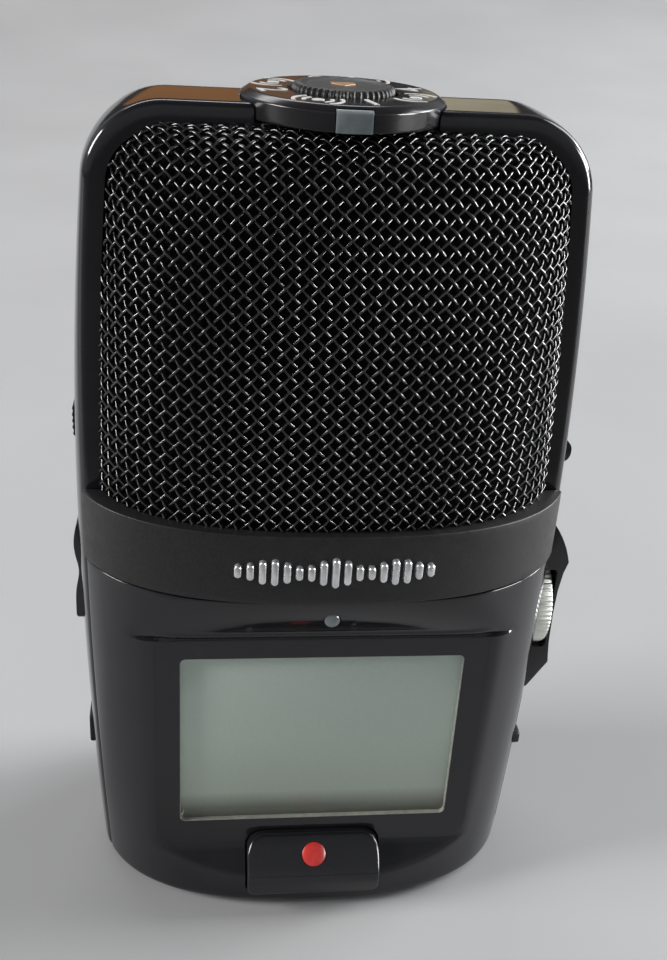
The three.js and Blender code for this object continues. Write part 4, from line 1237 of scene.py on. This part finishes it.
BORE, THREAD_DEPTH, HALF_PITCH = 3.17, 0.32, 0.25
threads = [(BORE + (0.0 if k % 2 else THREAD_DEPTH), insert_low[2] + 0.5 + k * HALF_PITCH) for k in range(23)]
insert = lathe("tripod_insert_thread", [
    (insert_radius - 0.15, insert_low[2]), (insert_radius, insert_low[2] + 0.15),
    (insert_radius, insert_high[2]), (BORE + 0.3, insert_high[2]), *threads[::-1],
    (BORE + 0.35, insert_low[2])], "z", [0, 0, 0], 72)
dress(insert, BRASS, "brass_insert", "tripod_insert")
for name, m in zip(["base_screw_left", "base_screw_right"], screw_mids):
    low, high = part(name)
    screw = lathe(name + "_head", [
        (0, low[2] + 0.02), (1.6, low[2] + 0.02), (1.9, low[2] + 0.25), (2.0, low[2] + 0.5), (2.0, 1.1),
        (1.0, 1.1), (1.0, high[2] - 0.6), (0.5, high[2]), (0, high[2])], "z", [m[0], m[1], 0], 48)
    cross = [prism("cut", rounded(m[0] - a, m[0] + a, m[1] - b, m[1] + b, 0.15, 3), -1, low[2] + 0.65, "z")
             for a, b in [(1.25, 0.26), (0.26, 1.25)]]
    combine(screw, cross)
    dress(screw, STEEL, "steel_bright", name)

# ---------- battery bay ----------
CELL = upright_blend("cell_wrap", 0.0046, 0.0551, [
    (0.0, (0.03, 0.03, 0.035)), (0.70, (0.035, 0.06, 0.10)),
    (0.71, (0.35, 0.36, 0.37)), (0.74, (0.35, 0.36, 0.37)),
    (0.75, (0.05, 0.09, 0.16)), (1.0, (0.05, 0.09, 0.16))], 0.3, 0.05, 0.3)
for name, up in [("battery_left", True), ("battery_right", False)]:
    low, high = part(name)
    mid = middle(name)
    r = (high[0] - low[0]) / 2
    profile = [(0, low[2]), (5.2, low[2]), (5.4, low[2] + 0.12),
               *from_corner(r, low[2], [(-0.5, 0.12), (-0.1, 0.3), (0, 0.7)]),
               *from_corner(r, high[2], [(0, -1.7), (-0.1, -1.3), (-0.5, -1.0)]),
               *from_corner(0, high[2], [(5.0, -1.05), (4.8, -1.3), (3.1, -1.3), (2.7, -1.0), (2.7, -0.2),
                                         (2.5, 0), (0, 0)])]
    if not up:
        profile = [(a, low[2] + high[2] - b) for a, b in profile][::-1]
    cell = lathe(name + "_cell", profile, "z", [mid[0], mid[1], 0], 80)
    dress(cell, CELL, "cell_wrap", name)

for name in ["contact_spring_left", "contact_spring_right"]:
    low, high = part(name)
    mid = middle(name)
    turns, wire = 3.5, 0.22
    f = np.linspace(0, 1, 150)
    angle = f * turns * 2 * math.pi
    reach = 3.7 - 1.7 * f
    path = np.stack([mid[0] + reach * np.cos(angle), mid[1] + reach * np.sin(angle),
                     low[2] + wire + f * (high[2] - low[2] - 2 * wire)], 1)
    dress(pipe_of(name + "_coil", swept(path, [0, 0, 1], wire, 8)), STEEL, "steel_bright", name, angle=60)


# ---------- card and sockets ----------
low, high = part("memory_card")
notch = 4.0
card = prism("memory_card_body", [(low[0], low[2]), (high[0], low[2]), (high[0], high[2]),
                                  (low[0] + notch, high[2]), (low[0], high[2] - notch)], low[1], high[1], "y")
soften(card, 0.35, 3, 30)
contacts = [rounded(low[0] + 0.6, low[0] + 4.2, z, z + 1.7, 0.3, 3)
            for z in (low[2] + 1.2 + k * 2.4 for k in range(8))]
combine(card, [prism("cut", pad, high[1] - 0.25, high[1] + 1, "y") for pad in contacts])
dress(card, MOULDED, "moulded_black", "memory_card")

low, high = part("usb_socket")
mid = middle("usb_socket")


def usb_outline(grow):
    """The socket's outline, two corners cut more than the others."""
    a, b = 1.9 + grow, 3.75 + grow
    return [(mid[1] - a, mid[2] - b + 0.5), (mid[1] - a + 0.5, mid[2] - b), (mid[1] + a - 1.3, mid[2] - b),
            (mid[1] + a, mid[2] - b + 1.3), (mid[1] + a, mid[2] + b - 1.3), (mid[1] + a - 1.3, mid[2] + b),
            (mid[1] - a + 0.5, mid[2] + b), (mid[1] - a, mid[2] + b - 0.5)]


shroud = prism("usb_shroud", usb_outline(0), low[0], high[0], "x")
trim(shroud, usb_outline(-0.35), low[0] - 1, high[0] - 1, "x")
soften(shroud, 0.1, 2, 30)
dress(shroud, STEEL, "steel_bright", "usb_socket")
tongue = prism("usb_tongue", rounded(mid[1] - 0.9, mid[1] + 0.1, mid[2] - 2.6, mid[2] + 2.6, 0.2),
               low[0] + 0.8, high[0] - 0.8, "x")
soften(tongue, 0.1, 2)
dress(tongue, MOULDED, "moulded_black")

# ---------- capsules and speaker ----------
for name, degrees in [("mid_capsule", 90), ("side_capsule_left", 0), ("side_capsule_right", 0),
                      ("rear_capsule_left", 120), ("rear_capsule_right", 60)]:
    low, high = part(name)
    mid = middle(name)
    capsule = lathe(name + "_can", [(0, -3), (3.7, -3), (4, -2.7), (4, 2.4), (3.9, 2.75), (3.6, 3), (3.0, 3),
                                    (2.8, 2.7), (0, 2.6)], "x", [0, 0, 0], 56)
    away = -1 if mid[1] < 0 and degrees == 90 else 1
    turn = Matrix.Rotation(math.radians(degrees) if away > 0 else math.radians(-90), 4, "Z")
    if name == "side_capsule_left":
        turn = Matrix.Rotation(math.pi, 4, "Z")
    origin = Vector(row([0, 0, 0]))
    capsule.data.transform(Matrix.Translation(row(mid)) @ turn @ Matrix.Translation(-origin))
    dress(capsule, STEEL, "steel_bright", name)

low, high = part("speaker")
mid = middle("speaker")
r = (high[0] - low[0]) / 2
speaker = lathe("speaker_cone", [
    (0, low[1]), (r - 0.4, low[1]), (r, low[1] + 0.4),
    *from_corner(r, high[1], [(0, -0.3), (-0.3, 0), (-0.9, 0), (-1.3, -0.4), (-2.0, -0.1), (-4.2, -1.2)]),
    (0, high[1] - 0.6)], "y", [mid[0], 0, mid[2]], 72)
dress(speaker, MOULDED, "moulded_black", "speaker")

# ---------- carried-over nodes ----------
CARRIED = {
    "mode_shaft": MOULDED, "mode_switch": MOULDED, "gain_pot": MOULDED, "card_socket": STEEL,
    "battery_tray": MOULDED, "contact_plate": STEEL, "main_board": BOARD, "mic_mount": MOULDED,
}
for node, material in CARRIED.items():
    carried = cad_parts[node]
    carried.data.materials.clear()
    carried.data.materials.append(material)

# ---------- floor, light and finish ----------
floor_mat = finish("floor_pale", (0.345, 0.348, 0.355), (0.38, 0.384, 0.392), (0.5, 0.65), 0, 8, 0.1, 300,
                   specular=0.2)


def shaded_ahead(material, near=-0.075, far=-0.15, dark=0.13):
    """Darkens the sheet beyond a distance in front, where only the object's reflections see it."""
    tree = material.node_tree
    shader = tree.nodes["Principled BSDF"]
    plain = shader.inputs["Base Color"].links[0].from_socket
    span = new_node(tree, "ShaderNodeMapRange", {"Value": coordinate(tree, "Y")},
                    {"From Min": far, "From Max": near, "To Min": 1.0, "To Max": 0.0})
    span.interpolation_type = "SMOOTHSTEP"
    mix = new_node(tree, "ShaderNodeMix", {"Factor": span.outputs["Result"], "A": plain},
                   {"B": (dark, dark * 0.97, dark * 0.95, 1)})
    tree.links.new(mix.outputs["Result"], shader.inputs["Base Color"])


shaded_ahead(floor_mat)


def table_top():
    """A pale sheet that lies flat under the object and curls up a little far behind it."""
    work = bmesh.new()
    ys = [-3, -1.2, -0.5, -0.2, 0, 0.2, 0.45, *np.linspace(0.6, 1.5, 14)]
    xs = [-4, -1.2, -0.5, -0.2, 0, 0.2, 0.5, 1.2, 4]
    grid = [[work.verts.new((x, y, 0.15 * max(0, (y - 0.6) / 0.9) ** 2)) for x in xs] for y in ys]
    for a, b in zip(grid, grid[1:]):
        for k in range(len(xs) - 1):
            work.faces.new([a[k], a[k + 1], b[k + 1], b[k]])
    piece = object_from("floor", work, outwards=False)
    piece.data.polygons.foreach_set("use_smooth", [True] * len(piece.data.polygons))
    piece.data.materials.append(floor_mat)


table_top()


def lamp_at(name, spot_at, aim, size, power, colour):
    """A soft rectangular light aimed at a point, in metres."""
    data = bpy.data.lights.new(name, "AREA")
    data.shape = "RECTANGLE"
    data.size, data.size_y = size
    data.energy = power
    data.color = colour
    light = linked(name, data)
    light.location = spot_at
    light.rotation_euler = (Vector(aim) - Vector(spot_at)).to_track_quat("-Z", "Y").to_euler()
    return light


MIDDLE, WHITE = (0, 0, 0.06), (1.0, 1.0, 1.0)
for lamp_facts in [
    ("window_right", (1.3, 0.5, 1.0), MIDDLE, (0.9, 0.9), 18.0, (0.97, 0.98, 1.0)),
    ("side_right", (1.3, 0.25, 0.5), MIDDLE, (0.5, 0.45), 21.0, (1.0, 0.99, 0.97)),
    ("window_left", (-1.25, -0.1, 0.6), MIDDLE, (0.5, 0.45), 21.0, (1.0, 0.98, 0.95)),
    ("back_soft", (-0.3, 1.6, 1.5), (0, 0.5, 0), (1.6, 0.5), 12.0, WHITE),
    ("warm_card", (-0.1, 1.5, 0.345), (0, 0, 0.112), (0.48, 0.16), 0.09, (1.0, 0.42, 0.11)),
    ("cream_card", (0.37, 1.5, 0.345), (0, 0, 0.112), (0.14, 0.12), 0.035, (1.0, 0.88, 0.62)),
]:
    lamp_at(*lamp_facts)
# Seen only in reflections: it gives the wires their glints and adds nothing to diffuse colour.
glint = lamp_at("wire_glint", (1.2, -0.45, 0.3), (0, 0, 0.08), (0.5, 0.5), 26.0, WHITE)
glint.visible_diffuse = False
world = bpy.data.worlds.new("world")
world.use_nodes = True
sky_tree = world.node_tree
sky = sky_tree.nodes["Background"]
upwards = ramp(sky_tree, coordinate(sky_tree, "Z", "Generated"), [
    (0.0, (0.40, 0.41, 0.42)), (0.3, (0.42, 0.43, 0.45)),
    (0.65, (0.30, 0.31, 0.33)), (0.85, (0.05, 0.05, 0.055))])
backwards = ramp(sky_tree, coordinate(sky_tree, "Y", "Generated"), [
    (0.8, (1, 1, 1)), (0.95, (0.10, 0.09, 0.08))])
sky_tree.links.new(product(sky_tree, upwards, backwards), sky.inputs["Color"])
sky.inputs["Strength"].default_value = 1.0
bpy.context.scene.world = world
bpy.context.scene.view_settings.view_transform = "Standard"
